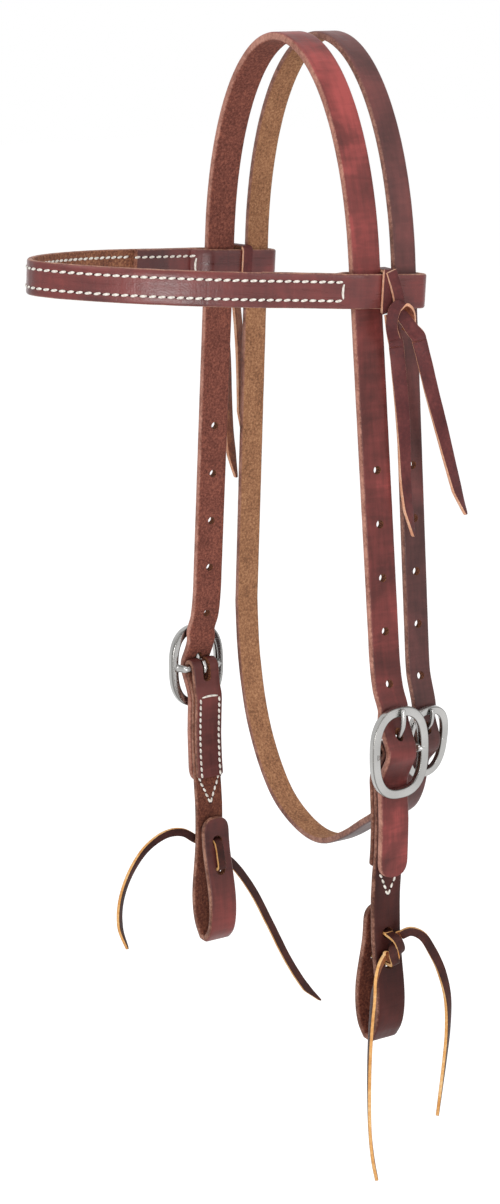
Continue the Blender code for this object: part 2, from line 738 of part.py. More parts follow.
def throat_strap(parts, cutters, material):
    near = throat_leg()
    bar = throat_bar()
    far_leg = mirrored(arch_and_leg(THROAT_LEG_SPREAD_SHARE, -THROAT_SWEEP_TOP), -1)
    fold = throat_fold()
    sweep = smooth_line([far_leg[-1]] + throat_sweep()) + throat_rise()[1:]
    line = near[::-1] + far_leg + sweep[1:-1] + fold
    line = with_tip_rows(line[::-1], TIP_ROUNDING, TIP_WIDTH_SHARES)[::-1]
    full = len(near) + len(far_leg) + len(sweep) - 5
    folded = THROAT_FOLDED_THICKNESS / THROAT_THICKNESS
    total = lengths_along(line)
    widths = tip_widths(line[::-1], THROAT_WIDTH / 2, TIP_ROUNDING, TIP_WIDTH_SHARES)[::-1]
    skive_start = total[full]
    shares = [1.0 if at < skive_start - THROAT_WIDTH else folded for at in total]
    shift = THROAT_SETBACK * ACROSS
    line = [point + shift for point in line]
    strap = strip("throat_strap", line, [ACROSS] * len(line), widths, THROAT_THICKNESS, parts, shares=shares)
    leg = [point + shift for point in near]
    first = used_hole_distance(leg, bar, THROAT_BAR_DIAMETER, THROAT_TONGUE_DIAMETER)
    holes = strap_holes(leg, first, THROAT_SLOT_WIDTH, "throat_holes", cutters)
    cut(strap, holes)
    end_drop = eye_reach(THROAT_BAR_DIAMETER, THROAT_TONGUE_DIAMETER) + SLOT_END_CLEARANCE
    for cutter in slot_cutter("throat_slot", bar + shift, THROAT_SLOT_WIDTH, end_drop, THROAT_WIDTH / 2,
                              fold_radius(THROAT_BAR_DIAMETER, THROAT_FOLDED_THICKNESS) + THROAT_FOLDED_THICKNESS / 2
                              + LAYER_GAP / 2, cutters):
        cut(strap, cutter)
    return finish(strap, material)


def bit_loop_strand(shares):
    return [Vector((LOOP_AXIS_X + LOOP_HALF_WIDTH * x, 0, -LOOP_TOP_DROP - LOOP_HEIGHT * z)) for x, z in shares]


def turned_back_end():
    """How low the cheek strap's turned-back end reaches."""
    return -BAR_DROP - rail_height_of(BUCKLE_HEIGHT, RAIL_WIDTH) - CHEEK_TURNBACK_LENGTH


def cheek_line():
    """The near cheek strap: its turned-back end, the fold over the bar, the hanging run and the bit loop."""
    bar = cheek_bar()
    radius = fold_radius(BAR_DIAMETER, FOLDED_THICKNESS)
    layer = FOLDED_THICKNESS + LAYER_GAP
    beneath = (CROWN_THICKNESS + FOLDED_THICKNESS) / 2 + LAYER_GAP
    over = arc(bar, radius, math.pi, -crown_turn()[1])
    end = turned_back_end()
    run = [point for point in offset_line(crown_leg(), beneath) if end < point.z < over[-1].z - CLOSEST_POINTS]
    hang = Vector((CHEEK_HANG_X, 0, -CHEEK_HANG_DROP))
    hanging = run + smooth_line([run[-1], hang] + bit_loop_strand(OUTER_STRAND_SHARES))[1:]
    turned = offset_line(hanging, layer)
    last = place_at(turned, distance_of_height(turned, end))[0]
    back = [point for point in turned if point.z > end + CLOSEST_POINTS and point.x < bar.x - radius]
    return [last] + back[::-1], over, hanging + smooth_line(bit_loop_strand(INNER_STRAND_SHARES))


def cheek_strap(name, parts, cutters, material):
    side = side_of(name)
    back, over, hanging = cheek_line()
    bar = cheek_bar()
    line = back + over[:-1] + hanging
    folded = len(back) + len(over)
    share = FOLDED_THICKNESS / CHEEK_THICKNESS
    line = with_tip_rows(line, TIP_ROUNDING, TIP_WIDTH_SHARES)
    line = with_tip_rows(line[::-1], CORNER_ROUNDING, CORNER_WIDTH_SHARES)[::-1]
    shares = [share if i < folded or point.z > turned_back_end() else 1.0 for i, point in enumerate(line)]
    widths = tip_widths(line, STRAP_WIDTH / 2, TIP_ROUNDING, TIP_WIDTH_SHARES)
    other = tip_widths(line[::-1], STRAP_WIDTH / 2, CORNER_ROUNDING, CORNER_WIDTH_SHARES)[::-1]
    widths = [min(pair) for pair in zip(widths, other)]
    origin = Vector((side * bar.x, bar.y, bar.z))
    strap = strip(name + "_cheek_strap", mirrored(line, side), [ACROSS] * len(line), widths, CHEEK_THICKNESS,
                  parts, origin=origin, shares=shares)
    half = BIT_HOLE_DIAMETER / 2
    places = [(Vector((side * LOOP_AXIS_X, 0, -drop)), OUTWARD, UP, half, half) for drop in BIT_HOLE_DROPS]
    cut(strap, punch_cutter(name + "_bit_holes", places, cutters))
    end_drop = eye_reach(BAR_DIAMETER, TONGUE_DIAMETER) + SLOT_END_CLEARANCE
    reach = fold_radius(BAR_DIAMETER, FOLDED_THICKNESS) + STRAP_WIDTH / 2
    for cutter in slot_cutter(name + "_cheek_slot", origin, TONGUE_SLOT_WIDTH, end_drop, STRAP_WIDTH / 2, reach,
                              cutters):
        cut(strap, cutter)
    return finish(strap, material)


def browband_strap_x():
    """How far out the crown strap stands where the browband goes round it."""
    return arch_and_leg(CROWN_LEG_SPREAD_SHARE, -BROWBAND_DROP)[-1].x


def tilted(points):
    """Turns points from the browband's own level plan up to the way it lies, front end high."""
    pivot = Vector((0, 0, -BROWBAND_DROP))
    turn = Matrix.Rotation(-BROWBAND_TILT, 3, "X")
    return [pivot + turn @ (point - pivot) for point in points]


def browband_half():
    """The near half of the browband from the end of its liner to beside its front middle, in plan."""
    height = -BROWBAND_DROP
    gap = CROWN_THICKNESS / 2 + BROWBAND_LOOP_CLEARANCE + BROWBAND_THICKNESS / 2
    outer_x = browband_strap_x() + gap
    inner_x = browband_strap_x() - gap
    back = BROWBAND_LOOP_BACK - BROWBAND_THICKNESS / 2
    radius = BROWBAND_FOLD_RADIUS
    turns = 4

    def corner(centre_x, start):
        angles = [start - math.pi / 2 * i / turns for i in range(turns + 1)]
        return [Vector((centre_x + radius * math.cos(a), back - radius + radius * math.sin(a), height))
                for a in angles]

    count = 11
    power = 2 / BROWBAND_ROUNDNESS
    width = BROWBAND_HALF_WIDTH - BROWBAND_THICKNESS / 2
    depth = BROWBAND_REACH - BROWBAND_THICKNESS / 2 - BROWBAND_CURVE_START
    angles = [math.pi / 2 * i / (count + 0.5) for i in range(1, count + 1)]
    bow = [Vector((width * math.cos(a) ** power, -BROWBAND_CURVE_START - depth * math.sin(a) ** power,
                   height)) for a in angles]
    straight = Vector((outer_x, 0, height))
    leaving = Vector((outer_x, -STRAP_WIDTH / 2, height))
    outside = smooth_line([straight, leaving, bow[0], bow[1]])[:-1] + bow[1:]
    inside = offset_line(outside, -BROWBAND_THICKNESS - LAYER_GAP, UP)
    total = lengths_along(inside)
    reaches = [at for at, point in zip(total, inside) if -BROWBAND_LINER_END < point.y < -BROWBAND_JOIN]
    liner = [place_at(inside, at)[0] for at in reaches]
    liner.append(place_at(inside, reaches[-1] + BROWBAND_LINER_END + liner[-1].y)[0])
    blend = smooth_line([liner[0], Vector((inner_x, -STRAP_WIDTH / 2, height)), Vector((inner_x, 0, height))])
    loop = corner(inner_x + radius, math.pi)[:-1] + corner(outer_x - radius, math.pi / 2)
    return liner[::-1][:-1] + blend[:-1] + loop + outside[1:]


def browband(parts, material):
    half = browband_half()
    line = tilted(half + mirrored(half, -1)[::-1])
    widths = [STRAP_WIDTH / 2] * len(line)
    upright = Matrix.Rotation(-BROWBAND_TILT, 3, "X") @ UP
    band = strip("browband", line, [upright] * len(line), widths, BROWBAND_THICKNESS, parts)
    return finish(band, material)


# Buckles

def ring_points(height, width, setback):
    """The rail's middle line, a rounded oval in the buckle's own plane."""
    points = []
    for i in range(RING_POINTS):
        angle = 2 * math.pi * i / RING_POINTS
        cosine = math.cos(angle)
        sine = math.sin(angle)
        across = math.copysign(abs(cosine) ** (2 / BUCKLE_ROUNDNESS), cosine) * width / 2
        up = math.copysign(abs(sine) ** (2 / BUCKLE_ROUNDNESS), sine) * height / 2
        points.append(Vector((setback, across, up)))
    return points


def rail_profile(name, width, thickness):
    """The rail's section: flat faces with their corners taken off."""
    half_width = width / 2
    half_thickness = thickness / 2
    corner_share = 0.42
    corner = corner_share * half_thickness
    outline = []
    for x, y in ((1, 1), (-1, 1), (-1, -1), (1, -1)):
        along = (x * (half_thickness - corner), y * half_width)
        across = (x * half_thickness, y * (half_width - corner))
        outline += [across, along] if x * y > 0 else [along, across]
    curve = bpy.data.curves.new(name, "CURVE")
    curve.dimensions = "2D"
    spline = curve.splines.new("POLY")
    spline.points.add(len(outline) - 1)
    for place, (x, y) in zip(spline.points, outline):
        place.co = (x, y, 0, 1)
    spline.use_cyclic_u = True
    return curve


def buckle_frame(name, sizes, strap_width, place, parts, cutters, material):
    """A bar buckle: an oval rail, and a bar dropped behind it for the leather."""
    height, width, rail, thickness, bar_diameter, setback = sizes
    profile = rail_profile(name + "_section", rail, thickness)
    section = bpy.data.objects.new(name + "_section", profile)
    cutters.objects.link(section)
    curve = bpy.data.curves.new(name, "CURVE")
    curve.dimensions = "3D"
    curve.bevel_mode = "OBJECT"
    curve.bevel_object = section
    spline = curve.splines.new("POLY")
    points = ring_points(height - rail, width - rail, setback)
    spline.points.add(len(points) - 1)
    for spot, point in zip(spline.points, points):
        spot.co = (*point, 1)
    spline.use_cyclic_u = True
    ring = curve_to_mesh(name, curve, parts)
    bpy.data.objects.remove(section, do_unlink=True)
    reach = (width - rail) / 2
    foot = strap_width / 2 + FOOT_CLEARANCE + bar_diameter / 4
    bar = [Vector((setback * back, -foot - (reach - foot) * out, 0)) for out, back, swell in BAR_FOOT_SHARES]
    radii = [bar_diameter / 2 * swell for out, back, swell in BAR_FOOT_SHARES]
    bar += [Vector((point.x, -point.y, 0)) for point in bar[::-1]]
    radii += radii[::-1]
    cross_bar = hide(tube(name + "_bar", bar, radii, cutters, resolution=4))
    for obj in (ring, cross_bar):
        obj.location, obj.rotation_euler = place
    join(ring, [cross_bar])
    return finish(ring, material)


def eye_reach(bar_diameter, tongue_diameter):
    """From the bar's axis to the outside of the tongue's eye."""
    return bar_diameter / 2 + BAR_CLEARANCE + tongue_diameter


def buckle_tongue(name, sizes, place, parts, material):
    """A wire curled round the bar, rising through the strap to rest on the rail."""
    height, width, rail, thickness, bar_diameter, setback = sizes[:6]
    wire = sizes[6]
    radius = bar_diameter / 2 + BAR_CLEARANCE + wire / 2
    seat = setback + thickness / 2 + TONGUE_SEAT_CLEARANCE + wire / 2
    rail_height = rail_height_of(height, rail)
    eye = arc(Vector(), radius, math.radians(80), math.radians(360), math.radians(20))
    rise_shares = ((0.02, 0.17), (0.28, 0.33), (0.62, 0.49), (0.93, 0.66), (1.02, 0.84), (1.0, 1.0), (0.96, 1.10))
    rise = [Vector((radius + (seat - radius) * out, 0, rail_height * up)) for out, up in rise_shares]
    line = eye[:-1] + smooth_line([eye[-1]] + rise, math.radians(14))
    total = lengths_along(line)
    radii = [wire / 2 * (1.0 if at < total[-1] - wire else 1.0 - 0.35 * (at - total[-1] + wire) / wire)
             for at in total]
    tongue = tube(name, line, radii, parts, resolution=3)
    tongue.location, tongue.rotation_euler = place
    return finish(tongue, material)


def cheek_sizes():
    return BUCKLE_HEIGHT, BUCKLE_WIDTH, RAIL_WIDTH, RAIL_THICKNESS, BAR_DIAMETER, BAR_SETBACK, TONGUE_DIAMETER


def throat_sizes():
    return (THROAT_BUCKLE_HEIGHT, THROAT_BUCKLE_WIDTH, THROAT_RAIL_WIDTH, THROAT_RAIL_THICKNESS,
            THROAT_BAR_DIAMETER, THROAT_BAR_SETBACK, THROAT_TONGUE_DIAMETER)


def buckles(parts, cutters, material):
    for name in ("near", "far"):
        bar = cheek_bar()
        turn = 0 if name == "near" else math.pi
        place = (Vector((side_of(name) * bar.x, bar.y, bar.z)), (0, 0, turn))
        buckle_frame(name + "_cheek_buckle_frame", cheek_sizes()[:6], STRAP_WIDTH, place, parts, cutters,
                     material)
        buckle_tongue(name + "_cheek_buckle_tongue", cheek_sizes(), place, parts, material)
    place = (throat_bar() + THROAT_SETBACK * ACROSS, (0, THROAT_BUCKLE_TILT, 0))
    buckle_frame("throat_buckle_frame", throat_sizes()[:6], THROAT_WIDTH, place, parts, cutters, material)
    buckle_tongue("throat_buckle_tongue", throat_sizes(), place, parts, material)


# Laces

def lace(name, line, sides, width, thickness, collection, widths=None, closed=False):
    """A flat lace. Its sides are made square to its line first."""
    tangents = tangents_of(line)
    if closed:
        ring = [line[-1]] + list(line) + [line[0]]
        tangents = [(ring[i + 2] - ring[i]).normalized() for i in range(len(line))]
    square = [(side - side.dot(along) * along).normalized() for side, along in zip(sides, tangents)]
    halves = widths or [width / 2] * len(line)
    bevel = thickness / 5
    return strip(name, line, square, halves, thickness, collection, closed=closed, bevel=bevel)


def blended(first, last, count):
    return [first.lerp(last, i / (count - 1)) for i in range(count)]


def tail(name, route, first_side, last_side, width, thickness, parts, material):
    """A free end of lace, cut on a slant at its tip."""
    points = [Vector(point) for point in route]
    line = even_line(points, 2)
    start = (line[1] - line[0]).normalized()
    line[0] = line[0] + CORD_GAP * start
    line = with_tip_rows(line, LACE_TIP_LENGTH, LACE_TIP_SHARES)
    widths = tip_widths(line, width / 2, LACE_TIP_LENGTH, LACE_TIP_SHARES)
    sides = blended(Vector(first_side), Vector(last_side), len(line))
    return finish(lace(name, line, sides, width, thickness, parts, widths), material)


def leading_to(ending, side):
    """The last two points of a knot's band, in line with the free end that it leads to."""
    first, second = mirrored([Vector(point) for point in ending[0][:2]], side)
    return [first - CORD_LEAD * (second - first).normalized(), first]


def bit_tie(name, parts, cutters, material):
    """A lace through the two holes of the bit loop, with a half knot on the outside."""
    side = side_of(name)
    front, back = TAILS[name + "_bit_tie"]
    upper_end, lower_end = (front, back) if name == "near" else (back, front)
    high, low = (-drop for drop in BIT_HOLE_DROPS)
    width = BIT_LACE_WIDTH
    thickness = BIT_LACE_THICKNESS
    inside = CHEEK_THICKNESS / 2 + TIE_CLEARANCE + thickness / 2
    outer = smooth_line(bit_loop_strand(OUTER_STRAND_SHARES))
    inner = smooth_line(bit_loop_strand(INNER_STRAND_SHARES))

    def strand_x(points, height):
        for a, b in zip(points, points[1:]):
            if min(a.z, b.z) <= height <= max(a.z, b.z):
                return a.x + (b.x - a.x) * (height - a.z) / (b.z - a.z)
        return points[-1].x

    top_in = strand_x(inner, high) - inside
    low_in = strand_x(inner, low) - inside
    top_out = strand_x(outer, high) + inside
    low_out = strand_x(outer, low) + inside
    bend = 1.2 * thickness
    bridge = smooth_line([
        Vector((top_out, 0, high)),
        Vector(((top_out + top_in) / 2, 0, high)),
        Vector((top_in + bend, 0, high)),
        Vector((top_in, 0, high - 0.7 * bend)),
        Vector(((top_in + low_in) / 2 - TIE_CLEARANCE, 0, (high + low) / 2)),
        Vector((low_in, 0, low + 0.7 * bend)),
        Vector((low_in + bend, 0, low)),
        Vector(((low_out + low_in) / 2, 0, low)),
        Vector((low_out, 0, low)),
    ], math.radians(30))
    face = low_out + TIE_CLEARANCE
    middle = (high + low) / 2
    bands = []
    ends = ((top_out, high, upper_end), (low_out, low, lower_end))
    for label, (start_x, start_z, ending), shares in zip(("upper", "lower"), ends, KNOT_SHARES[name]):
        line = smooth_line([
            Vector((start_x - thickness, 0, start_z)),
            *(Vector((face + out * thickness, across * width, middle + up * width)) for out, across, up in shares),
            *leading_to(ending, side),
        ], math.radians(25))
        last = Vector(ending[1])
        sides = blended(ACROSS, Vector((side * last.x, last.y, last.z)), len(line))
        bands.append(hide(lace(f"{name}_bit_{label}", mirrored(line, side), mirrored(sides, side), width, thickness,
                               cutters)))
    tie = lace(name + "_bit_tie", mirrored(bridge, side), [ACROSS] * len(bridge), width, thickness, parts)
    join(tie, bands)
    return finish(tie, material)


def brow_tie(name, parts, cutters, material):
    """A lace round the browband between the two straps, with its knot at the lower outer edge."""
    side = side_of(name)
    front, back = TAILS[name + "_browband_tie"]
    width = BROW_WRAP_WIDTH
    thickness = BROW_LACE_THICKNESS
    strap_x = browband_strap_x()
    shell = CROWN_THICKNESS / 2 + BROWBAND_LOOP_CLEARANCE + BROWBAND_THICKNESS + TIE_CLEARANCE + thickness / 2
    out = strap_x + shell
    inside = strap_x - shell
    top = -BROWBAND_DROP + STRAP_WIDTH / 2 + TIE_CLEARANCE + thickness / 2
    bottom = -BROWBAND_DROP - STRAP_WIDTH / 2 - TIE_CLEARANCE - thickness / 2
    between = (STRAP_WIDTH / 2 + THROAT_SETBACK - THROAT_WIDTH / 2) / 2
    corner = 1.3 * thickness
    ring = []
    for x, z, start in ((out, top, 0.5), (inside, top, 1.0), (inside, bottom, 1.5), (out, bottom, 2.0)):
        centre = Vector((x - math.copysign(corner, x - strap_x), between, z - math.copysign(corner, z + BROWBAND_DROP)))
        for i in range(4):
            angle = math.pi * (start - 0.5 + i / 6)
            ring.append(centre + corner * Vector((math.cos(angle), 0, math.sin(angle))))
    wrap = lace(name + "_browband_tie", mirrored(tilted(ring), side), [ACROSS] * len(ring), width, thickness, parts,
                closed=True)
    loops = []
    knot = tilted([Vector((out, between, bottom))])[0]
    half = width / 2
    tilt_top = tilted([Vector((out, between, top))])[0].z
    first = smooth_line([
        knot + Vector((0.45 * thickness, 0.15 * half, 1.7 * half)),
        knot + Vector((1.1 * half, -0.5 * half, 0.9 * half)),
        knot + Vector((1.6 * half, -0.9 * half, -0.9 * half)),
        knot + Vector((1.3 * half, -0.7 * half, -2.6 * half)),
        *leading_to(front, side),
    ], math.radians(20))
    second = smooth_line([
        knot + Vector((0.2 * half, -0.4 * half, -0.1 * half)),
        knot + Vector((1.3 * half, 0.9 * half, 0.3 * half)),
        knot + Vector((1.9 * half, 2.2 * half, -0.6 * half)),
        knot + Vector((1.6 * half, 2.2 * half, -2.2 * half)),
        *leading_to(back, side),
    ], math.radians(20))
    slanted = smooth_line([
        Vector((out + thickness / 4, between + 0.2 * half, tilt_top - corner)),
        Vector((out + 0.9 * thickness, between + 0.8 * half, (top + bottom) / 2)),
        knot + Vector((0.9 * half, 1.5 * half, 0.3 * half)),
    ], math.radians(20))
    for label, line, start, last in (
        ("first", first, Vector((0, 1, 0.2)), front[1]),
        ("second", second, Vector((0, 0.4, 1)), back[1]),
        ("slanted", slanted, Vector((0, 1, 0.2)), (0, 1, 0.4)),
    ):
        last = Vector((side * last[0], last[1], last[2]))
        sides = blended(start, last, len(line))
        loops.append(hide(lace(f"{name}_brow_{label}", mirrored(line, side), mirrored(sides, side), width,
                               thickness, cutters)))
    join(wrap, loops)
    return finish(wrap, material)


def tails(parts, material):
    for tie, ends in TAILS.items():
        width = BIT_LACE_WIDTH if "bit" in tie else BROW_LACE_WIDTH
        thickness = BIT_LACE_THICKNESS if "bit" in tie else BROW_LACE_THICKNESS
        for label, (route, first_side, last_side) in zip(("front", "back"), ends):
            tail(f"{tie}_{label}_tail", route, first_side, last_side, width, thickness, parts, material)


def main():
    clear_scene()
    parts = new_collection("western_headstall")
    cutters = new_collection("cutters")
    leather = new_material("oiled_harness_leather", STRAP_COLOUR)
    lacing = new_material("latigo_lace", LACE_COLOUR)
    steel = new_material("polished_stainless_steel", STEEL_COLOUR)
    crown_strap(parts, cutters, leather)
    throat_strap(parts, cutters, leather)
    browband(parts, leather)
    for name in ("near", "far"):
        cheek_strap(name, parts, cutters, leather)
    buckles(parts, cutters, steel)
    for name in ("near", "far"):
        bit_tie(name, parts, cutters, lacing)
        brow_tie(name, parts, cutters, lacing)
    tails(parts, lacing)


main()
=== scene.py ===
# Western headstall, dressed for its picture. Metres: +X near side, -Y front, +Z up, the poll at zero.
import math
from functools import partial

import bmesh
import bpy
from mathutils import Matrix, Vector, noise


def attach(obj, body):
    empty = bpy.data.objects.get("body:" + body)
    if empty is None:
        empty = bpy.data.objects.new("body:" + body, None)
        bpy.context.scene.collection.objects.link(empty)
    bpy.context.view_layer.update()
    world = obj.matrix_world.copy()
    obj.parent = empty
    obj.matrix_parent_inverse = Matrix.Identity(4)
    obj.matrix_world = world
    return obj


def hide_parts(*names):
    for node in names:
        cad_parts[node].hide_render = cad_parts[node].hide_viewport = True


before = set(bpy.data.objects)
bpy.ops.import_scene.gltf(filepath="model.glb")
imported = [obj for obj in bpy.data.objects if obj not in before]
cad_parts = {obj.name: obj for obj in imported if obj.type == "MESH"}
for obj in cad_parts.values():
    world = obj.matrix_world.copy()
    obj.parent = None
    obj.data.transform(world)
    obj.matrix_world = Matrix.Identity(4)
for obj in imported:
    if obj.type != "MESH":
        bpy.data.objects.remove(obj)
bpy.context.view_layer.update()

up = Vector((0, 0, 1))
across = Vector((0, 1, 0))
outward = Vector((1, 0, 0))
finest = 0.0009  # closer points than this count as one when a line is drawn

# What several pieces share: the strap sizes, the gaps where they meet, and the holes and tips
strap = {"width": 0.0159, "crown": 0.0040, "cheek": 0.0036, "folded": 0.0029, "layerGap": 0.0003,
         "edgeRound": 0.0012, "rowStep": 0.0020}
fit = {"barX": 0.0873, "throatBarX": 0.0796, "drop": 0.3260, "barGap": 0.0003, "railGap": 0.0011,
       "railRun": 1.15, "seatGap": 0.0003, "tieGap": 0.0004, "slotEnd": 0.0018, "footGap": 0.0006}
holes = {"pitch": 0.0254, "diameter": 0.0040, "open": 5, "usedPlay": 0.0017, "crownUsed": 0.0042,
         "throatUsed": 0.0038, "sides": 28, "reach": 0.02}
tips = {"crown": 0.0430, "rounding": 0.0080, "corner": 0.0020, "turnedBackEnd": -0.3851}

# Shares of the width on the way in from an end: a rounded tip, and a square end with its corners taken off
tipWidths = ((0.0, 0.34), (0.03, 0.44), (0.07, 0.54), (0.12, 0.64), (0.2, 0.745), (0.32, 0.845), (0.45, 0.91),
             (0.7, 0.975), (1.0, 1.0))
cornerWidths = ((0.0, 0.78), (0.1, 0.87), (0.3, 0.95), (0.6, 0.99), (1.0, 1.0))
roundTip = (tips["rounding"], tipWidths)
squareEnd = (tips["corner"], cornerWidths)


# Lines

def splinePoint(before, start, end, after, share):
    # a point between start and end on the centripetal curve through all four
    knot1 = max((start - before).length, finest) ** 0.5
    knot2 = knot1 + max((end - start).length, finest) ** 0.5
    knot3 = knot2 + max((after - end).length, finest) ** 0.5
    at = knot1 + (knot2 - knot1) * share
    first = before.lerp(start, at / knot1)
    second = start.lerp(end, (at - knot1) / (knot2 - knot1))
    third = end.lerp(after, (at - knot2) / (knot3 - knot2))
    return first.lerp(second, at / knot2).lerp(second.lerp(third, (at - knot1) / (knot3 - knot1)), share)


def smoothLine(points, turnStep=math.radians(3), perSpan=None):
    # a curve through the points, in steps that each turn a little, or in perSpan steps between two points
    points = [Vector(point) for point in points]
    padded = [2 * points[0] - points[1]] + points + [2 * points[-1] - points[-2]]
    line = []
    for i in range(len(points) - 1):
        span = padded[i:i + 4]
        count = perSpan
        if not count:
            probes = [splinePoint(*span, k / 8) for k in range(9)]
            steps = [b - a for a, b in zip(probes, probes[1:])]
            turn = sum(a.angle(b, 0.0) for a, b in zip(steps, steps[1:]))
            count = max(1, math.ceil(turn / turnStep))
        line += [splinePoint(*span, k / count) for k in range(count)]
    return line + [points[-1]]


def arcLine(centre, radius, start, end, step=math.radians(5)):
    count = max(1, round(abs(end - start) / step))
    angles = [start + (end - start) * i / count for i in range(count + 1)]
    return [centre + radius * Vector((math.cos(a), 0, math.sin(a))) for a in angles]


def lengthsAlong(line):
    total = [0.0]
    for first, second in zip(line, line[1:]):
        total.append(total[-1] + (second - first).length)
    return total


def placeAt(line, distance):
    total = lengthsAlong(line)
    for i in range(len(line) - 1):
        if total[i + 1] >= distance or i == len(line) - 2:
            share = (distance - total[i]) / (total[i + 1] - total[i])
            return line[i].lerp(line[i + 1], share), (line[i + 1] - line[i]).normalized()


def distanceOfHeight(line, height):
    total = lengthsAlong(line)
    for i in range(len(line) - 1):
        if line[i].z >= height > line[i + 1].z:
            share = (line[i].z - height) / (line[i].z - line[i + 1].z)
            return total[i] + share * (total[i + 1] - total[i])


def tangentsOf(line):
    ends = [line[0]] + line + [line[-1]]
    return [(ends[i + 2] - ends[i]).normalized() for i in range(len(line))]


def squared(side, along):
    return (side - side.dot(along) * along).normalized()


def offsetLine(line, distance, normal=across):
    return [point + distance * normal.cross(along) for point, along in zip(line, tangentsOf(line))]


def filledLine(line, step):
    # the same line with a point at least every step
    filled = [line[0]]
    for first, second in zip(line, line[1:]):
        length = (second - first).length
        if length < 1e-7:
            continue
        count = max(1, math.ceil(length / step))
        filled += [first.lerp(second, i / count) for i in range(1, count + 1)]
    return filled


def withRows(line, reach, shares):
    # the line with a point at each share of the reach before its end
    total = lengthsAlong(line)
    rows = sorted(total[-1] - reach * share for share, width in shares)
    kept = [point for at, point in zip(total, line) if at < rows[0] - 0.0003]
    return kept + [placeAt(line, at)[0] for at in rows]


def widthsAlong(line, half, reach, shares):
    total = lengthsAlong(line)
    widths = []
    for at in total:
        share = (total[-1] - at) / reach
        width = 1.0
        for (near, low), (far, high) in zip(shares, shares[1:]):
            if near <= share <= far:
                width = low + (high - low) * (share - near) / (far - near)
        widths.append(half * width)
    return widths


def shapedEnds(line, half, start, end=None):
    # the line with its rows, and its half widths, for ends that are each cut to a reach and its shares
    if end:
        line = withRows(line, *end)
    line = withRows(line[::-1], *start)[::-1]
    widths = widthsAlong(line[::-1], half, *start)[::-1]
    if end:
        widths = [min(pair) for pair in zip(widthsAlong(line, half, *end), widths)]
    return line, widths


def mirrored(points, side):
    return [Vector((side * point.x, point.y, point.z)) for point in points]


def spread(value, count):
    return value if isinstance(value, list) else [value] * count


def blended(first, last, count):
    return [first.lerp(last, i / (count - 1)) for i in range(count)]


# Materials

def toLinear(hexColour):
    values = [int(hexColour[i:i + 2], 16) / 255 for i in (0, 2, 4)]
    return [v / 12.92 if v <= 0.04045 else ((v + 0.055) / 1.055) ** 2.4 for v in values] + [1.0]


def addNode(tree, kind, inputs=None, stops=(), **settings):
    # an input is a value, a socket, or a node whose first output in use is meant
    node = tree.nodes.new(kind)
    for key, value in settings.items():
        setattr(node, key, value)
    for key, value in (inputs or {}).items():
        if isinstance(value, bpy.types.Node):
            value = next(socket for socket in value.outputs if socket.enabled)
        if isinstance(value, bpy.types.NodeSocket):
            tree.links.new(value, node.inputs[key])
        else:
            node.inputs[key].default_value = value
    stops = list(stops)
    for _ in stops[2:]:
        node.color_ramp.elements.new(0.5)
    for (at, colour), element in zip(stops, node.color_ramp.elements if stops else ()):
        element.position, element.color = at, toLinear(colour)
    return node


def emptyTree(owner):
    owner.use_nodes = True
    owner.node_tree.nodes.clear()
    return owner.node_tree


def newMaterial(name):
    material = bpy.data.materials.new(name)
    add = partial(addNode, emptyTree(material))
    return material, add, add("ShaderNodeTexCoord").outputs["Object"]


def finishMaterial(material, add, surface, relief=None, strength=0.5, depth=0.0002):
    if relief:
        surface["Normal"] = add("ShaderNodeBump", {"Height": relief, "Strength": strength, "Distance": depth})
    add("ShaderNodeOutputMaterial", {"Surface": add("ShaderNodeBsdfPrincipled", surface)})
    return material


# Vegetable-tanned harness leather, dyed oxblood, hot oiled and slicked. On the grain side the oil leaves
# cloudy pull-up and a soft waxy gloss. The flesh side is matt and fibrous, the bevelled edges burnished tan.
# Tones go from deep to light; the height ramp gives the heights from which and to which the tone lightens,
# and by how much. That lightening is painted light, the strap painted lighter where the lamps fall on it.
leatherTones = {
    "crown": {"grain": ("431f1d", "5a2a27", "763734", "a54c49"), "flesh": ("552e26", "784439", "985b4a"),
              "edge": ("875546", "ac7767", "c48c7a"), "worn": (-0.210, -0.015, 0.14), "gloss": 0.42,
              "shine": 0.3, "nap": 0.7},
    "throat": {"grain": ("3a2221", "4c2e2c", "5f3836", "784441"), "flesh": ("724d37", "9a6b4c", "b98964"),
               "edge": ("65443a", "8c6154", "a87c6c"), "worn": (-0.190, -0.020, 0.12), "gloss": 0.42,
               "shine": 0.3, "nap": 1.5},
    "browband": {"grain": ("4b2322", "602d2b", "743532", "833d3b"), "flesh": ("553123", "7d4b36", "a2704f"),
                 "edge": ("633a2e", "946351", "bb8a70"), "worn": (-0.050, 0.050, 0.10), "gloss": 0.29,
                 "shine": 0.5, "nap": 1.2},
    # The two cheeks are one leather: the near cheek's darker tones are painted shade, and the far cheek's
    # lighter, redder tones and its larger lightening with height are painted light.
    "nearCheek": {"grain": ("2b110f", "3a1916", "46201c", "562825"), "flesh": ("3c1b15", "5b2f24", "7c4836"),
                  "edge": ("4f2f26", "7a5142", "a07362"), "worn": (-0.425, -0.475, 0.10), "gloss": 0.42,
                  "shine": 0.2, "nap": 0.8},
    "farCheek": {"grain": ("3f1e1c", "542a27", "66332f", "853f3b"), "flesh": ("45221a", "66382b", "84503c"),
                 "edge": ("593629", "895c4b", "b0806b"), "worn": (-0.420, -0.475, 0.20), "gloss": 0.38,
                 "shine": 0.3, "nap": 0.8},
}


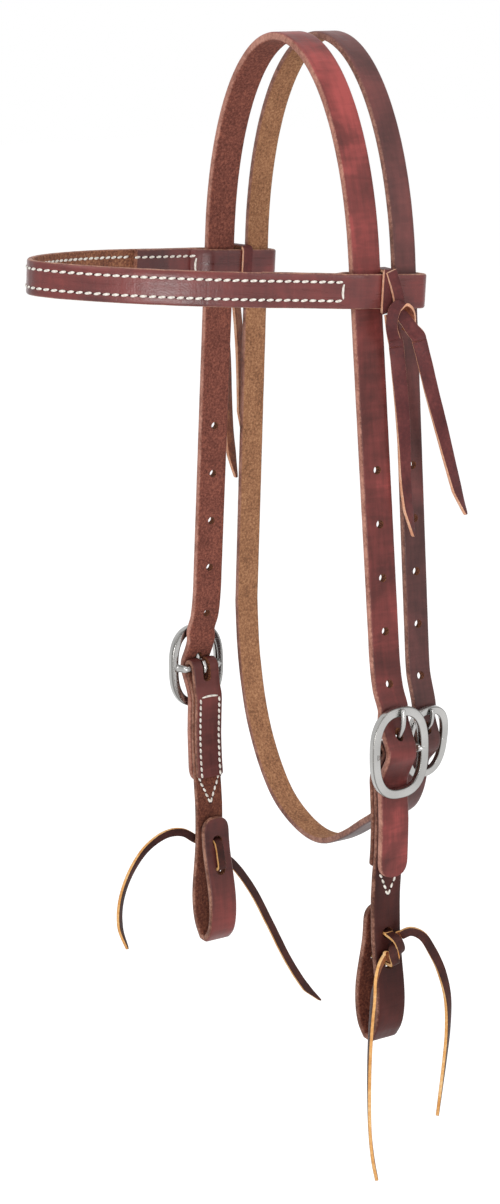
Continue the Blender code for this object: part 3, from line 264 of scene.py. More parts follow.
def harnessLeather(name):
    tones = leatherTones[name]
    material, add, coords = newMaterial("oiled harness leather, " + name)
    lay = add("ShaderNodeUVMap", uv_map="lay")
    side = add("ShaderNodeSeparateXYZ", {0: add("ShaderNodeUVMap", uv_map="side")}).outputs
    height = add("ShaderNodeSeparateXYZ", {0: coords}).outputs["Z"]

    # grain: clouds 28 mm wide, streaks along the strap, creases across it, and hair pores
    clouds = add("ShaderNodeTexNoise", {"Vector": coords, "Scale": 36, "Detail": 3.0, "Distortion": 0.6})
    along = add("ShaderNodeMapping", {"Vector": lay, "Scale": (0.10, 1.0, 1.0)})
    streaks = add("ShaderNodeTexNoise", {"Vector": along, "Scale": 420, "Detail": 4.0, "Roughness": 0.6})
    crosswise = add("ShaderNodeMapping", {"Vector": lay, "Scale": (1.0, 0.16, 1.0)})
    creases = add("ShaderNodeTexNoise", {"Vector": crosswise, "Scale": 330, "Detail": 3.0, "Distortion": 0.8})
    pores = add("ShaderNodeTexVoronoi", {"Vector": coords, "Scale": 1150}, feature="SMOOTH_F1")
    # painted light: the grain's tone rises between two heights, so the strap is painted lighter where light
    # falls on it
    paintedLightFrom, paintedLightTo, paintedLightBy = tones["worn"]
    tone = add("ShaderNodeMapRange", {"Value": height, "From Min": paintedLightFrom, "From Max": paintedLightTo,
                                      "To Max": paintedLightBy})
    for part, share in ((streaks, 0.20), (clouds, 0.56), (creases, 0.14)):
        tone = add("ShaderNodeMath", {0: part, 1: share, 2: tone}, operation="MULTIPLY_ADD")
    grain = add("ShaderNodeValToRGB", {"Fac": tone}, zip((0.31, 0.42, 0.53, 0.67), tones["grain"]))

    # flesh: fibres about a millimetre across
    fibres = add("ShaderNodeTexNoise", {"Vector": coords, "Scale": 850, "Detail": 5.0, "Roughness": 0.75})
    patches = add("ShaderNodeTexNoise", {"Vector": coords, "Scale": 90, "Detail": 2.0})
    matted = add("ShaderNodeMix", {0: 0.15, 2: fibres, 3: patches})
    flesh = add("ShaderNodeValToRGB", {"Fac": matted}, zip((0.38, 0.50, 0.62), tones["flesh"]))

    # edge: burnished and waxed, darker where fibres stand open
    run = add("ShaderNodeMapping", {"Vector": lay, "Scale": (0.5, 1.0, 1.0)})
    edgeFibres = add("ShaderNodeTexNoise", {"Vector": coords, "Scale": 620, "Detail": 4.0, "Roughness": 0.7})
    edgeStreaks = add("ShaderNodeTexNoise", {"Vector": run, "Scale": 210, "Detail": 3.0})
    openFibres = add("ShaderNodeMix", {0: 0.45, 2: edgeFibres, 3: edgeStreaks})
    edge = add("ShaderNodeValToRGB", {"Fac": openFibres}, zip((0.38, 0.50, 0.60), tones["edge"]))
    frayed = add("ShaderNodeMath", {0: edgeFibres, 1: 0.5, 2: side["X"]}, operation="MULTIPLY_ADD")
    onEdge = add("ShaderNodeMapRange", {"Value": frayed, "From Min": 0.55, "From Max": 1.05})

    # the three sides together: grain and flesh by the face, then the edge over both
    faces = add("ShaderNodeMix", {0: side["Y"], 6: grain, 7: flesh}, data_type="RGBA")
    colour = add("ShaderNodeMix", {0: onEdge, 6: faces, 7: edge}, data_type="RGBA")
    gloss = add("ShaderNodeMapRange", {"Value": streaks, "From Min": 0.3, "From Max": 0.7,
                                       "To Min": tones["gloss"] - 0.06, "To Max": tones["gloss"] + 0.10})
    matt = add("ShaderNodeMix", {0: side["Y"], 2: gloss, 3: 0.85})
    matt = add("ShaderNodeMix", {0: onEdge, 2: matt, 3: 0.55})
    pits = add("ShaderNodeMath", {0: pores, 1: 0.3, 2: creases}, operation="MULTIPLY_ADD")
    nap = add("ShaderNodeMath", {0: fibres, 1: tones["nap"]}, operation="MULTIPLY")
    relief = add("ShaderNodeMix", {0: side["Y"], 2: pits, 3: nap})
    relief = add("ShaderNodeMix", {0: onEdge, 2: relief, 3: edgeFibres})
    return finishMaterial(material, add, {"Base Color": colour, "Roughness": matt, "IOR": 1.45,
                                          "Specular IOR Level": tones["shine"]}, relief, 0.5, 0.00025)


# Leather where a punch or a knife went through: undyed fibres with a little oil, matt and uneven.
def punchedLeather():
    material, add, coords = newMaterial("punched leather, raw fibres")
    fibres = add("ShaderNodeTexNoise", {"Vector": coords, "Scale": 1600, "Detail": 4.0, "Roughness": 0.7})
    browns = ((0.36, "3c1c13"), (0.50, "6e3c25"), (0.64, "a36a44"))
    colour = add("ShaderNodeValToRGB", {"Fac": fibres}, browns)
    return finishMaterial(material, add, {"Base Color": colour, "Roughness": 0.85, "IOR": 1.45}, fibres)


# Latigo lace, alum tanned, stuffed with oil and cut with a knife: dark supple faces, orange tan at the cut.
laceTones = {
    "bit tie": {"face": ("291412", "3c1e1a", "532b25"), "under": ("4a2115", "764027", "a2663f"),
                "cut": ("c68545", "e3ab6a", "f3d2a0")},
    "browband tie": {"face": ("452122", "5a2c2c", "713a38"), "under": ("55291d", "7c4530", "a26a4b"),
                     "cut": ("c98868", "dfa888", "efcab0")},
}


def latigoLace(name):
    material, add, coords = newMaterial("latigo lace, oiled and knife cut, " + name)
    side = add("ShaderNodeSeparateXYZ", {0: add("ShaderNodeUVMap", uv_map="side")}).outputs
    grain = add("ShaderNodeTexNoise", {"Vector": coords, "Scale": 700, "Detail": 4.0, "Roughness": 0.65})
    clouds = add("ShaderNodeTexNoise", {"Vector": coords, "Scale": 95, "Detail": 2.0})
    mixed = add("ShaderNodeMix", {0: 0.5, 2: grain, 3: clouds})
    face, under, cut = (add("ShaderNodeValToRGB", {"Fac": mixed}, zip(stops, laceTones[name][part]))
                        for part, stops in (("face", (0.32, 0.50, 0.68)), ("under", (0.38, 0.50, 0.62)),
                                            ("cut", (0.32, 0.50, 0.68))))
    faces = add("ShaderNodeMix", {0: side["Y"], 6: face, 7: under}, data_type="RGBA")
    onCut = add("ShaderNodeMapRange", {"Value": side["X"], "From Min": 0.45, "From Max": 0.8})
    colour = add("ShaderNodeMix", {0: onCut, 6: faces, 7: cut}, data_type="RGBA")
    gloss = add("ShaderNodeMapRange", {"Value": grain, "From Min": 0.3, "From Max": 0.7, "To Min": 0.40,
                                       "To Max": 0.62})
    return finishMaterial(material, add, {"Base Color": colour, "Roughness": gloss, "IOR": 1.45,
                                          "Specular IOR Level": 0.2}, grain, 0.4)


# Stainless steel, cast, ground flat and buffed: a grey mirror with faint haze and fine lines; its bevels are
# painted darker, a painted dark reflection.
def buffedStainless():
    material, add, coords = newMaterial("stainless steel, cast and buffed")
    bevel = add("ShaderNodeSeparateXYZ", {0: add("ShaderNodeUVMap", uv_map="side")})
    haze = add("ShaderNodeTexNoise", {"Vector": coords, "Scale": 60, "Detail": 2.0})
    flat = add("ShaderNodeMapping", {"Vector": coords, "Scale": (1.0, 0.12, 1.0)})
    lines = add("ShaderNodeTexNoise", {"Vector": flat, "Scale": 1900, "Detail": 3.0})
    bright = add("ShaderNodeValToRGB", {"Fac": haze}, ((0.3, "a09f9d"), (0.7, "b4b3b1")))
    # painted reflection: the bevels get a darker base colour that stands in for the dark surroundings they
    # would mirror
    paintedDarkReflection = add("ShaderNodeValToRGB", {"Fac": haze}, ((0.3, "55534f"), (0.7, "716f6c")))
    colour = add("ShaderNodeMix", {0: bevel, 6: bright, 7: paintedDarkReflection}, data_type="RGBA")
    gloss = add("ShaderNodeMapRange", {"Value": lines, "From Min": 0.3, "From Max": 0.7, "To Min": 0.14,
                                       "To Max": 0.30})
    return finishMaterial(material, add, {"Base Color": colour, "Roughness": gloss, "Metallic": 1.0},
                          lines, 0.03, 0.0001)


# Waxed saddler's thread, twisted nylon: off white with a dull shine. Its twist is 0.8 mm long, coarse enough
# to show.
def waxedThread():
    material, add, coords = newMaterial("waxed nylon thread, white")
    twist = add("ShaderNodeTexWave", {"Vector": coords, "Scale": 200, "Distortion": 1.0},
                bands_direction="DIAGONAL").outputs["Fac"]
    colour = add("ShaderNodeValToRGB", {"Fac": twist}, ((0.0, "cfc7bb"), (0.6, "ece6dd")))
    return finishMaterial(material, add, {"Base Color": colour, "Roughness": 0.5, "IOR": 1.52},
                          twist, 0.3, 0.0001)


# The awl's dimple between two stitches: leather pressed dull round the thread and painted near black, partly
# the pressed leather's own darkening and partly painted shade of the awl hole.
def awlDimpleWithHoleShade():
    material, add, coords = newMaterial("leather pressed by the awl, with painted hole shade")
    mottle = add("ShaderNodeTexNoise", {"Vector": coords, "Scale": 1500})
    colour = add("ShaderNodeValToRGB", {"Fac": mottle}, ((0.35, "1d0b0a"), (0.65, "3d1c18")))
    return finishMaterial(material, add, {"Base Color": colour, "Roughness": 0.8, "IOR": 1.45})


leathers = {name: harnessLeather(name) for name in leatherTones}
holeLeather = punchedLeather()
laces = {name: latigoLace(name) for name in laceTones}
steel = buffedStainless()
thread = waxedThread()
dimple = awlDimpleWithHoleShade()
print("materials made")


# Meshes

def newObject(name, data):
    piece = bpy.data.objects.new(name, data)
    bpy.context.scene.collection.objects.link(piece)
    return piece


def meshObject(name, shape, *materials):
    mesh = bpy.data.meshes.new(name)
    shape.to_mesh(mesh)
    shape.free()
    for material in materials:
        mesh.materials.append(material)
    return newObject(name, mesh)


def skin(shape, rings, closed=False):
    # four-sided faces between rings of points; gives each with the numbers of its ring and of its two places
    count = len(rings[0])
    faces = []
    for i in range(len(rings) - (0 if closed else 1)):
        j = (i + 1) % len(rings)
        for k in range(count):
            m = (k + 1) % count
            face = shape.faces.new((rings[i][k], rings[i][m], rings[j][m], rings[j][k]))
            face.smooth = True
            faces.append((face, i, k, m))
    return faces


def sectionOf(half, thick, rounding, cells):
    # the grain face and the edge on its right, then the same again turned half round for the flesh face;
    # each place says how far round the edge it is, and 0 for grain or 1 for flesh
    corner = min(rounding, 0.95 * thick, 0.9 * half)
    flat = half - corner
    turns = [(i / 3, math.pi / 6 * i) for i in range(4)]
    points = [(-flat + 2 * flat * i / cells, thick, 0.0, 0.0) for i in range(cells + 1)]
    points += [(flat + corner * math.sin(turn), thick - corner + corner * math.cos(turn), share, 0.0)
               for share, turn in turns[1:]]
    points += [(flat + corner * math.cos(turn), -thick + corner - corner * math.sin(turn), 1 - share, 1.0)
               for share, turn in turns[:3]]
    return points + [(-x, -y, edge, 1 - flesh) for x, y, edge, flesh in points]


def sweepStrap(name, line, sides, halves, thicks, grain, material, rounding=strap["edgeRound"], cells=8,
               closed=False, wander=0.00007):
    # a flat band along a line. Its sides, halves and thicks are lists, or one value for the whole line. Its
    # maps hold how far along and across a place is (lay), and how far round the edge and its face (side).
    tangents = tangentsOf(line)
    total = lengthsAlong(line)
    if closed:
        ring = [line[-1]] + line + [line[0]]
        tangents = [(ring[i + 2] - ring[i]).normalized() for i in range(len(line))]
        total.append(total[-1] + (line[0] - line[-1]).length)
    shape = bmesh.new()
    lay = shape.loops.layers.uv.new("lay")
    sideLayer = shape.loops.layers.uv.new("side")
    rings, notes = [], []
    sides, halves, thicks = (spread(value, len(line)) for value in (sides, halves, thicks))
    for point, side, along, half, thick, at in zip(line, sides, tangents, halves, thicks, total):
        side = squared(side, along)
        through = along.cross(side) * grain
        section = sectionOf(half, thick, rounding, cells)
        drift = wander * noise.noise(Vector((at * 160, half * 90, 3.1)))
        rings.append([shape.verts.new(point + side * (a + drift * edge * math.copysign(1, a)) + through * b)
                      for a, b, edge, flesh in section])
        notes.append([(a, edge, flesh) for a, b, edge, flesh in section])
    for face, i, k, m in skin(shape, rings, closed):
        for loop, (step, column) in zip(face.loops, ((i, k), (i, m), (i + 1, m), (i + 1, k))):
            a, edge, flesh = notes[step % len(notes)][column]
            loop[lay].uv = (total[step], a)
            loop[sideLayer].uv = (edge, flesh)
    if not closed:
        for at, verts, places in ((0.0, rings[0][::-1], notes[0][::-1]), (total[-1], rings[-1], notes[-1])):
            face = shape.faces.new(verts)
            for loop, (a, edge, flesh) in zip(face.loops, places):
                loop[lay].uv = (at, a)
                loop[sideLayer].uv = (1.0, 0.5)
    bmesh.ops.recalc_face_normals(shape, faces=shape.faces)
    return meshObject(name, shape, material)


def tube(name, line, radii, material, sides=16):
    shape = bmesh.new()
    shape.loops.layers.uv.new("side")
    tangents = tangentsOf(line)
    side = tangents[0].orthogonal().normalized()
    rings = []
    for point, along, radius in zip(line, tangents, radii):
        side = squared(side, along)
        other = along.cross(side)
        rings.append([shape.verts.new(point + radius * (math.cos(a) * side + math.sin(a) * other))
                      for a in (2 * math.pi * k / sides for k in range(sides))])
    skin(shape, rings)
    shape.faces.new(rings[0][::-1])
    shape.faces.new(rings[-1])
    bmesh.ops.recalc_face_normals(shape, faces=shape.faces)
    return meshObject(name, shape, material)


def joined(name, pieces):
    materials = []
    shape = bmesh.new()
    for piece in pieces:
        places = []
        for material in piece.data.materials:
            if material not in materials:
                materials.append(material)
            places.append(materials.index(material))
        known = len(shape.faces)
        shape.from_mesh(piece.data)
        shape.faces.ensure_lookup_table()
        for face in shape.faces[known:]:
            face.material_index = places[min(face.material_index, len(places) - 1)]
        bpy.data.objects.remove(piece, do_unlink=True)
    return meshObject(name, shape, *materials)


def appliedMesh(piece):
    graph = bpy.context.evaluated_depsgraph_get()
    mesh = bpy.data.meshes.new_from_object(piece.evaluated_get(graph), depsgraph=graph)
    old = piece.data
    piece.modifiers.clear()
    piece.data = mesh
    bpy.data.meshes.remove(old)


def smoothTo(piece, degrees):
    piece.data.shade_smooth()
    piece.data.set_sharp_from_angle(angle=math.radians(degrees))


def cutWith(piece, cutters):
    for cutter in cutters:
        boolean = piece.modifiers.new(cutter.name, "BOOLEAN")
        boolean.operation = "DIFFERENCE"
        boolean.solver = "EXACT"
        boolean.material_mode = "TRANSFER"
        boolean.object = cutter
    appliedMesh(piece)
    for cutter in cutters:
        bpy.data.objects.remove(cutter, do_unlink=True)
    smoothTo(piece, 35)


def cutterFrom(name, shape):
    for layerName in ("lay", "side"):
        shape.loops.layers.uv.new(layerName)
    return meshObject(name, shape, holeLeather)


def punches(name, places):
    # one cutter of round or oval pins: place, way through, way along, half length and half width of each
    shape = bmesh.new()
    for point, through, along, halfLength, halfWidth in places:
        turn = Matrix((along, through.cross(along), through)).transposed().to_4x4()
        size = Matrix.Diagonal((halfLength, halfWidth, 1, 1))
        bmesh.ops.create_cone(shape, cap_ends=True, segments=holes["sides"], radius1=1, radius2=1,
                              depth=holes["reach"], matrix=Matrix.Translation(point) @ turn @ size)
    return cutterFrom(name, shape)


def slotCutters(name, bar, width, endDrop, height, reach):
    # a slot that starts round below a bar and runs on above it
    half = width / 2
    roundEnd = bar - (endDrop - half) * up
    lower = bmesh.new()
    bmesh.ops.create_cone(lower, cap_ends=True, segments=40, radius1=half, radius2=half, depth=2 * reach,
                          matrix=Matrix.Translation(roundEnd) @ Matrix.Rotation(math.pi / 2, 4, "Y"))
    box = bmesh.new()
    top = bar.z + height
    middle = Vector((bar.x, bar.y, (top + roundEnd.z) / 2))
    bmesh.ops.create_cube(box, size=1, matrix=Matrix.Translation(middle)
                          @ Matrix.Diagonal((2 * reach, width, top - roundEnd.z, 1)))
    return [cutterFrom(name, lower), cutterFrom(name + "Top", box)]


def dress(piece, body, node):
    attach(piece, body)
    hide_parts(node)


# Camera, at the photograph's angle
shot = {"location": (1.0195, -0.6609, 0.0350), "back": (0.8222, -0.5137, 0.2451), "roll": math.radians(-0.58),
        "lens": 75.5, "sensor": 36.0}


def makeCamera():
    data = bpy.data.cameras.new("camera")
    data.sensor_fit = "VERTICAL"
    data.sensor_height = shot["sensor"]
    data.lens = shot["lens"]
    camera = newObject("camera", data)
    turn = Vector(shot["back"]).to_track_quat("Z", "Y").to_matrix().to_4x4()
    camera.matrix_world = Matrix.Translation(shot["location"]) @ turn @ Matrix.Rotation(shot["roll"], 4, "Z")
    bpy.context.scene.camera = camera


makeCamera()


# Laces
lacing = {"bitWidth": 0.0044, "browWidth": 0.0068, "browWrap": 0.0054, "thickness": 0.0017,
          "rounding": 0.00028, "wander": 0.00012, "tip": 0.0140, "slant": 0.55, "gap": 0.0001, "lead": 0.0018}
laceTip = (lacing["tip"], ((0.0, 0.16), (0.06, 0.30), (1.0, 1.0)))

# The free lace ends, front then back: the route from knot to tip, the way that its width lies at the knot and
# at the tip, and which face is the grain
tails = {
    "near_bit_tie": (
        (((0.0884, -0.0052, -0.4302), (0.0906, -0.0092, -0.4327), (0.0922, -0.0128, -0.4400),
          (0.0930, -0.0152, -0.4550), (0.0930, -0.0165, -0.4740), (0.0926, -0.0166, -0.4960),
          (0.0920, -0.0156, -0.5170), (0.0915, -0.0135, -0.5325), (0.0910, -0.0108, -0.5440)),
         (0.0, 0.2, 1.0), (0.8, -0.6, 0.0), 1),
        (((0.0880, 0.0050, -0.4206), (0.0906, 0.0090, -0.4187), (0.0928, 0.0140, -0.4212),
          (0.0940, 0.0192, -0.4295), (0.0946, 0.0245, -0.4410), (0.0946, 0.0285, -0.4560),
          (0.0940, 0.0293, -0.4730), (0.0930, 0.0283, -0.4900), (0.0920, 0.0270, -0.5050),
          (0.0910, 0.0256, -0.5200)),
         (0.3, 0.3, 0.9), (-0.75, 0.66, 0.0), 1)),
    "far_bit_tie": (
        (((-0.0882, -0.0052, -0.4215), (-0.0898, -0.0120, -0.4170), (-0.0910, -0.0210, -0.4165),
          (-0.0920, -0.0330, -0.4225), (-0.0928, -0.0430, -0.4350), (-0.0930, -0.0490, -0.4500),
          (-0.0925, -0.0500, -0.4640), (-0.0918, -0.0460, -0.4765)),
         (0.0, 0.2, 1.0), (0.55, -0.8, 0.1), -1),
        (((-0.0884, 0.0074, -0.4305), (-0.0892, 0.0130, -0.4350), (-0.0900, 0.0210, -0.4430),
          (-0.0915, 0.0330, -0.4600), (-0.0925, 0.0450, -0.4830), (-0.0930, 0.0570, -0.5070),
          (-0.0930, 0.0680, -0.5250), (-0.0930, 0.0780, -0.5370)),
         (0.0, 0.6, 1.0), (-0.2, 0.9, 0.4), 1)),
    "near_browband_tie": (
        (((0.0758, 0.0095, -0.1365), (0.0760, 0.0108, -0.1480), (0.0766, 0.0122, -0.1640),
          (0.0775, 0.0130, -0.1820), (0.0785, 0.0132, -0.2010), (0.0795, 0.0145, -0.2155),
          (0.0800, 0.0162, -0.2265)),
         (0.5, 0.85, 0.0), (-0.50, 0.90, 0.0), 1),
        (((0.0800, 0.0195, -0.1340), (0.0805, 0.0222, -0.1440), (0.0810, 0.0262, -0.1590),
          (0.0816, 0.0315, -0.1770), (0.0824, 0.0365, -0.1950), (0.0832, 0.0410, -0.2105),
          (0.0836, 0.0440, -0.2190)),
         (0.5, 0.8, 0.3), (-0.50, 0.85, 0.2), 1)),
    "far_browband_tie": (
        (((-0.0758, 0.0095, -0.1365), (-0.0760, 0.0102, -0.1480), (-0.0764, 0.0112, -0.1640),
          (-0.0770, 0.0118, -0.1820), (-0.0775, 0.0128, -0.2000), (-0.0780, 0.0148, -0.2150),
          (-0.0785, 0.0164, -0.2245)),
         (-0.5, 0.85, 0.0), (-0.4, 0.9, 0.0), -1),
        (((-0.0800, 0.0195, -0.1340), (-0.0805, 0.0208, -0.1440), (-0.0812, 0.0222, -0.1580),
          (-0.0820, 0.0232, -0.1740), (-0.0826, 0.0238, -0.1900), (-0.0830, 0.0240, -0.2040)),
         (-0.5, 0.8, 0.3), (-0.3, 0.9, 0.3), -1)),
}


def laceBand(name, line, sides, width, grain, halves=None, closed=False):
    finish = laces["browband tie" if "Brow" in name else "bit tie"]
    return sweepStrap(name, line, sides, halves or width / 2, lacing["thickness"] / 2, grain, finish,
                      rounding=lacing["rounding"], cells=4, closed=closed, wander=lacing["wander"])


def makeTail(tie, label, route, firstSide, lastSide, grain):
    width = lacing["bitWidth"] if "bit" in tie else lacing["browWidth"]
    line = smoothLine(route, perSpan=12)
    line = [line[0] + lacing["gap"] * (line[1] - line[0]).normalized()] + [
        point for point in line[1:] if (point - line[0]).length > 1.5 * lacing["gap"]]
    line = filledLine(line, 0.0015)
    total = lengthsAlong(line)
    sides = [Vector(firstSide).lerp(Vector(lastSide), at / total[-1]) for at in total]
    halves = widthsAlong(line, width / 2, *laceTip)
    slanted = []
    for point, side, along, half in zip(line, sides, tangentsOf(line), halves):
        side = squared(side, along)
        slanted.append(point + lacing["slant"] * side * (width / 2 - half))
    first, *words = tie.split("_") + [label, "tail"]
    name = first + "".join(word.capitalize() for word in words)
    piece = laceBand(name, slanted, sides, width, grain, halves)
    body = {"near_bit_tie": "near_cheek", "far_bit_tie": "far_cheek"}.get(tie, "browband")
    dress(piece, body, f"{tie}_{label}_tail")


for tie, ends in tails.items():
    for label, tail in zip(("front", "back"), ends):
        makeTail(tie, label, *tail)
print("lace ends hung")


# Buckles, and how a strap threads one
cheekBuckle = {"height": 0.0447, "width": 0.0322, "rail": 0.0045, "thickness": 0.0038, "bar": 0.0038,
               "setback": 0.0055, "tongue": 0.0025, "slot": 0.0046, "carries": 0.0159}
throatBuckle = {"height": 0.0372, "width": 0.0242, "rail": 0.0038, "thickness": 0.0030, "bar": 0.0030,
                "setback": 0.0043, "tongue": 0.0021, "slot": 0.0038, "carries": 0.0127,
                "tilt": math.radians(10)}
throat = {"width": 0.0127, "thickness": 0.0036, "folded": 0.0026, "setback": 0.0219, "legSpread": 0.070,
          "skiveLength": 0.008, "sweepTop": 0.2900, "sweepDepth": 0.1100, "sweepHalf": 0.0763, "tip": 0.0330}
tongueRise = ((0.02, 0.17), (0.28, 0.33), (0.62, 0.49), (0.93, 0.66), (1.02, 0.84), (1.0, 1.0), (0.96, 1.10))
cheekBar = Vector((fit["barX"], 0, -fit["drop"]))
throatBar = Vector((fit["throatBarX"], 0, -fit["drop"]))
throatTurned = (Matrix.Translation(throatBar + throat["setback"] * across)
                @ Matrix.Rotation(throatBuckle["tilt"], 4, "Y"))


def sideOf(name):
    return 1 if name == "near" else -1


def buckleTurn(name):
    turn = 0 if name == "near" else math.pi
    return Matrix.Translation((sideOf(name) * cheekBar.x, 0, cheekBar.z)) @ Matrix.Rotation(turn, 4, "Z")


def railOf(buckle):
    return (buckle["height"] - buckle["rail"]) / 2


def innerRail(buckle):
    return railOf(buckle) - fit["railRun"] * buckle["rail"]


def foldRadius(buckle, folded):
    return buckle["bar"] / 2 + fit["barGap"] + folded / 2


def eyeReach(buckle):
    return buckle["bar"] / 2 + fit["barGap"] + buckle["tongue"]


def turnOver(buckle, folded, thickness):
    # a strap over the bar: the radius and half angle of its turn, and how far out it runs behind the rails
    behind = buckle["setback"] - buckle["thickness"] / 2 - fit["railGap"] - thickness / 2
    over = buckle["bar"] / 2 + fit["barGap"] + folded + strap["layerGap"] + thickness / 2
    turn = math.atan2(innerRail(buckle), behind) - math.acos(over / math.hypot(behind, innerRail(buckle)))
    return over, turn, behind


def crownTurn():
    return turnOver(cheekBuckle, strap["folded"], strap["crown"])


def throatTurn():
    return turnOver(throatBuckle, throat["folded"], throat["thickness"])


def tongueLine(buckle):
    # up from the bar in the buckle's own plane: the eye, then the rise through the strap to the rail
    wire = buckle["tongue"]
    radius = buckle["bar"] / 2 + fit["barGap"] + wire / 2
    seat = buckle["setback"] + buckle["thickness"] / 2 + fit["seatGap"] + wire / 2
    eye = arcLine(Vector(), radius, math.radians(80), math.radians(360), math.radians(6))
    rise = [Vector((radius + (seat - radius) * out, 0, railOf(buckle) * high)) for out, high in tongueRise]
    return eye[:-1], smoothLine([eye[-1]] + rise)


def strapHoles(name, leg, buckle, place, usedWidth):
    # the hole in use leans the way the tongue goes through it; the others stand square up the strap
    bar = place @ Vector()
    wire = buckle["tongue"]
    window = railOf(buckle) * 0.7
    rise = [place @ point for point in tongueLine(buckle)[1]]
    distance, i, k = min(((a - b).length, i, k) for i, a in enumerate(rise) for k, b in enumerate(leg)
                         if abs(a.z - bar.z) < window and abs(b.z - bar.z) < window)
    through = (rise[i + 1] - rise[i - 1]).normalized()
    halfLength = wire / 2 + holes["usedPlay"]
    places = [((rise[i] + leg[k]) / 2, through, through.cross(across), halfLength, usedWidth / 2)]
    first = distanceOfHeight(leg, bar.z + buckle["bar"] / 2 + fit["barGap"] + 2.2 * wire)
    for i in range(1, holes["open"] + 1):
        point, along = placeAt(leg, first - i * holes["pitch"])
        places.append((point, along.cross(across), along, holes["diameter"] / 2, holes["diameter"] / 2))
    return punches(name, places)


# Crown strap: over the poll, behind each upper rail, over the bar, and behind the lower rail to its tip
arch = {"halfSpan": 0.064, "height": 0.115, "crownSpread": 0.0932, "rows": 60}


def archAndLeg(spread, bottom):
    half, height, rows = arch["halfSpan"], arch["height"], arch["rows"]
    last = math.atan2(half, spread * height)
    angles = [last * (i + 0.5) / (rows + 0.5) for i in range(rows + 1)]
    centre = strap["crown"] / 2 - height * math.cos(angles[0])
    line = [Vector((half * math.sin(a), 0, centre + height * math.cos(a))) for a in angles]
    foot = line[-1]
    return line + [Vector((foot.x + spread * (foot.z - bottom), 0, bottom))]


def crownLeg():
    rail, inner = railOf(cheekBuckle), innerRail(cheekBuckle)
    over, turn, behind = crownTurn()
    leg = archAndLeg(arch["crownSpread"], cheekBar.z + 2.6 * rail)
    lead = leg[-1] - 0.45 * rail * up + 0.45 * rail * arch["crownSpread"] * outward
    back = cheekBar + behind * outward
    return leg[:-1] + smoothLine([
        leg[-1],
        lead,
        cheekBar + 0.62 * (lead.x - cheekBar.x + behind) * outward + 1.45 * rail * up,
        back + rail * up,
        back + inner * up,
        *arcLine(cheekBar, over, turn, -turn),
        back - inner * up,
        back - rail * up,
        cheekBar + (behind + finest) * outward - (rail + 0.35 * tips["crown"]) * up,
        cheekBar + (behind + finest / 2) * outward - (rail + 0.7 * tips["crown"]) * up,
        back - (rail + tips["crown"]) * up,
    ])


def makeCrown():
    half = crownLeg()
    line = filledLine(mirrored(half, -1)[::-1] + half, strap["rowStep"])
    line, widths = shapedEnds(line, strap["width"] / 2, roundTip, roundTip)
    piece = sweepStrap("crownStrap", line, across, widths, strap["crown"] / 2, 1, leathers["crown"])
    cutWith(piece, [strapHoles(name + "Holes", mirrored(half, sideOf(name)), cheekBuckle, buckleTurn(name),
                               holes["crownUsed"]) for name in ("near", "far")])
    dress(piece, "headpiece", "crown_strap")


# Throat strap: down the far side, under the jaw, and up into a fold round the buckle's bar
sweepShares = ((-0.993, 0.20), (-0.96, 0.355), (-0.87, 0.58), (-0.70, 0.79), (-0.515, 0.918), (-0.22, 1.0),
               (0.02, 1.0), (0.285, 0.918), (0.495, 0.820), (0.66, 0.745), (0.79, 0.674), (0.895, 0.609))
throatLayer = throat["folded"] + strap["layerGap"]
throatBeneath = strap["layerGap"] + (throat["thickness"] + throat["folded"]) / 2


def throatPlace(out, rise):
    tilt = throatBuckle["tilt"]
    return (throatBar + out * Vector((math.cos(tilt), 0, -math.sin(tilt)))
            + rise * Vector((math.sin(tilt), 0, math.cos(tilt))))


def throatPass():
    over, turn, behind = throatTurn()
    rail, inner = railOf(throatBuckle), innerRail(throatBuckle)
    foot = archAndLeg(throat["legSpread"], throatBar.z + 2.4 * rail)[-1]
    lead = foot - 0.5 * rail * up + 0.9 * rail * throat["legSpread"] * outward
    tilt = throatBuckle["tilt"]
    bulge = arcLine(throatBar, over, turn - tilt, -turn - tilt)
    above = smoothLine([foot, lead, throatPlace(behind, rail), throatPlace(behind, inner), *bulge])
    return above, smoothLine([bulge[-1], throatPlace(behind, -inner), throatPlace(behind, -rail)])


def throatRise():
    return offsetLine(throatPass()[1], throatBeneath)[::-1]


def throatSweep():
    line = [Vector((throat["sweepHalf"] * x, 0, -throat["sweepTop"] - throat["sweepDepth"] * z))
            for x, z in sweepShares]
    return line + [throatRise()[0]]


def belowBuckle(out):
    line = offsetLine(smoothLine(throatSweep(), perSpan=4), out)
    total = lengthsAlong(line)
    return [placeAt(line, total[-1] - share * throat["tip"])[0] for share in (0.0, 0.33, 0.66, 1.0)]


def throatLeg():
    above, below = throatPass()
    leg = archAndLeg(throat["legSpread"], above[0].z)
    return leg[:-1] + above[:-1] + below[:-1] + smoothLine([below[-1]] + belowBuckle(throatBeneath)[1:])


def throatFold():
    radius = foldRadius(throatBuckle, throat["folded"])
    over = arcLine(throatBar, radius, -throatTurn()[1] - throatBuckle["tilt"], math.pi - throatBuckle["tilt"])
    inward = throatPlace(-1, 0) - throatBar
    inner = [point for point in offsetLine(throatRise(), -throatLayer)[::-1]
             if (point - throatBar).dot(inward) > radius]
    joint = smoothLine([over[-1]] + inner[:1])
    return over[:-1] + joint[:-1] + inner[:-1] + smoothLine(belowBuckle(-throatLayer))


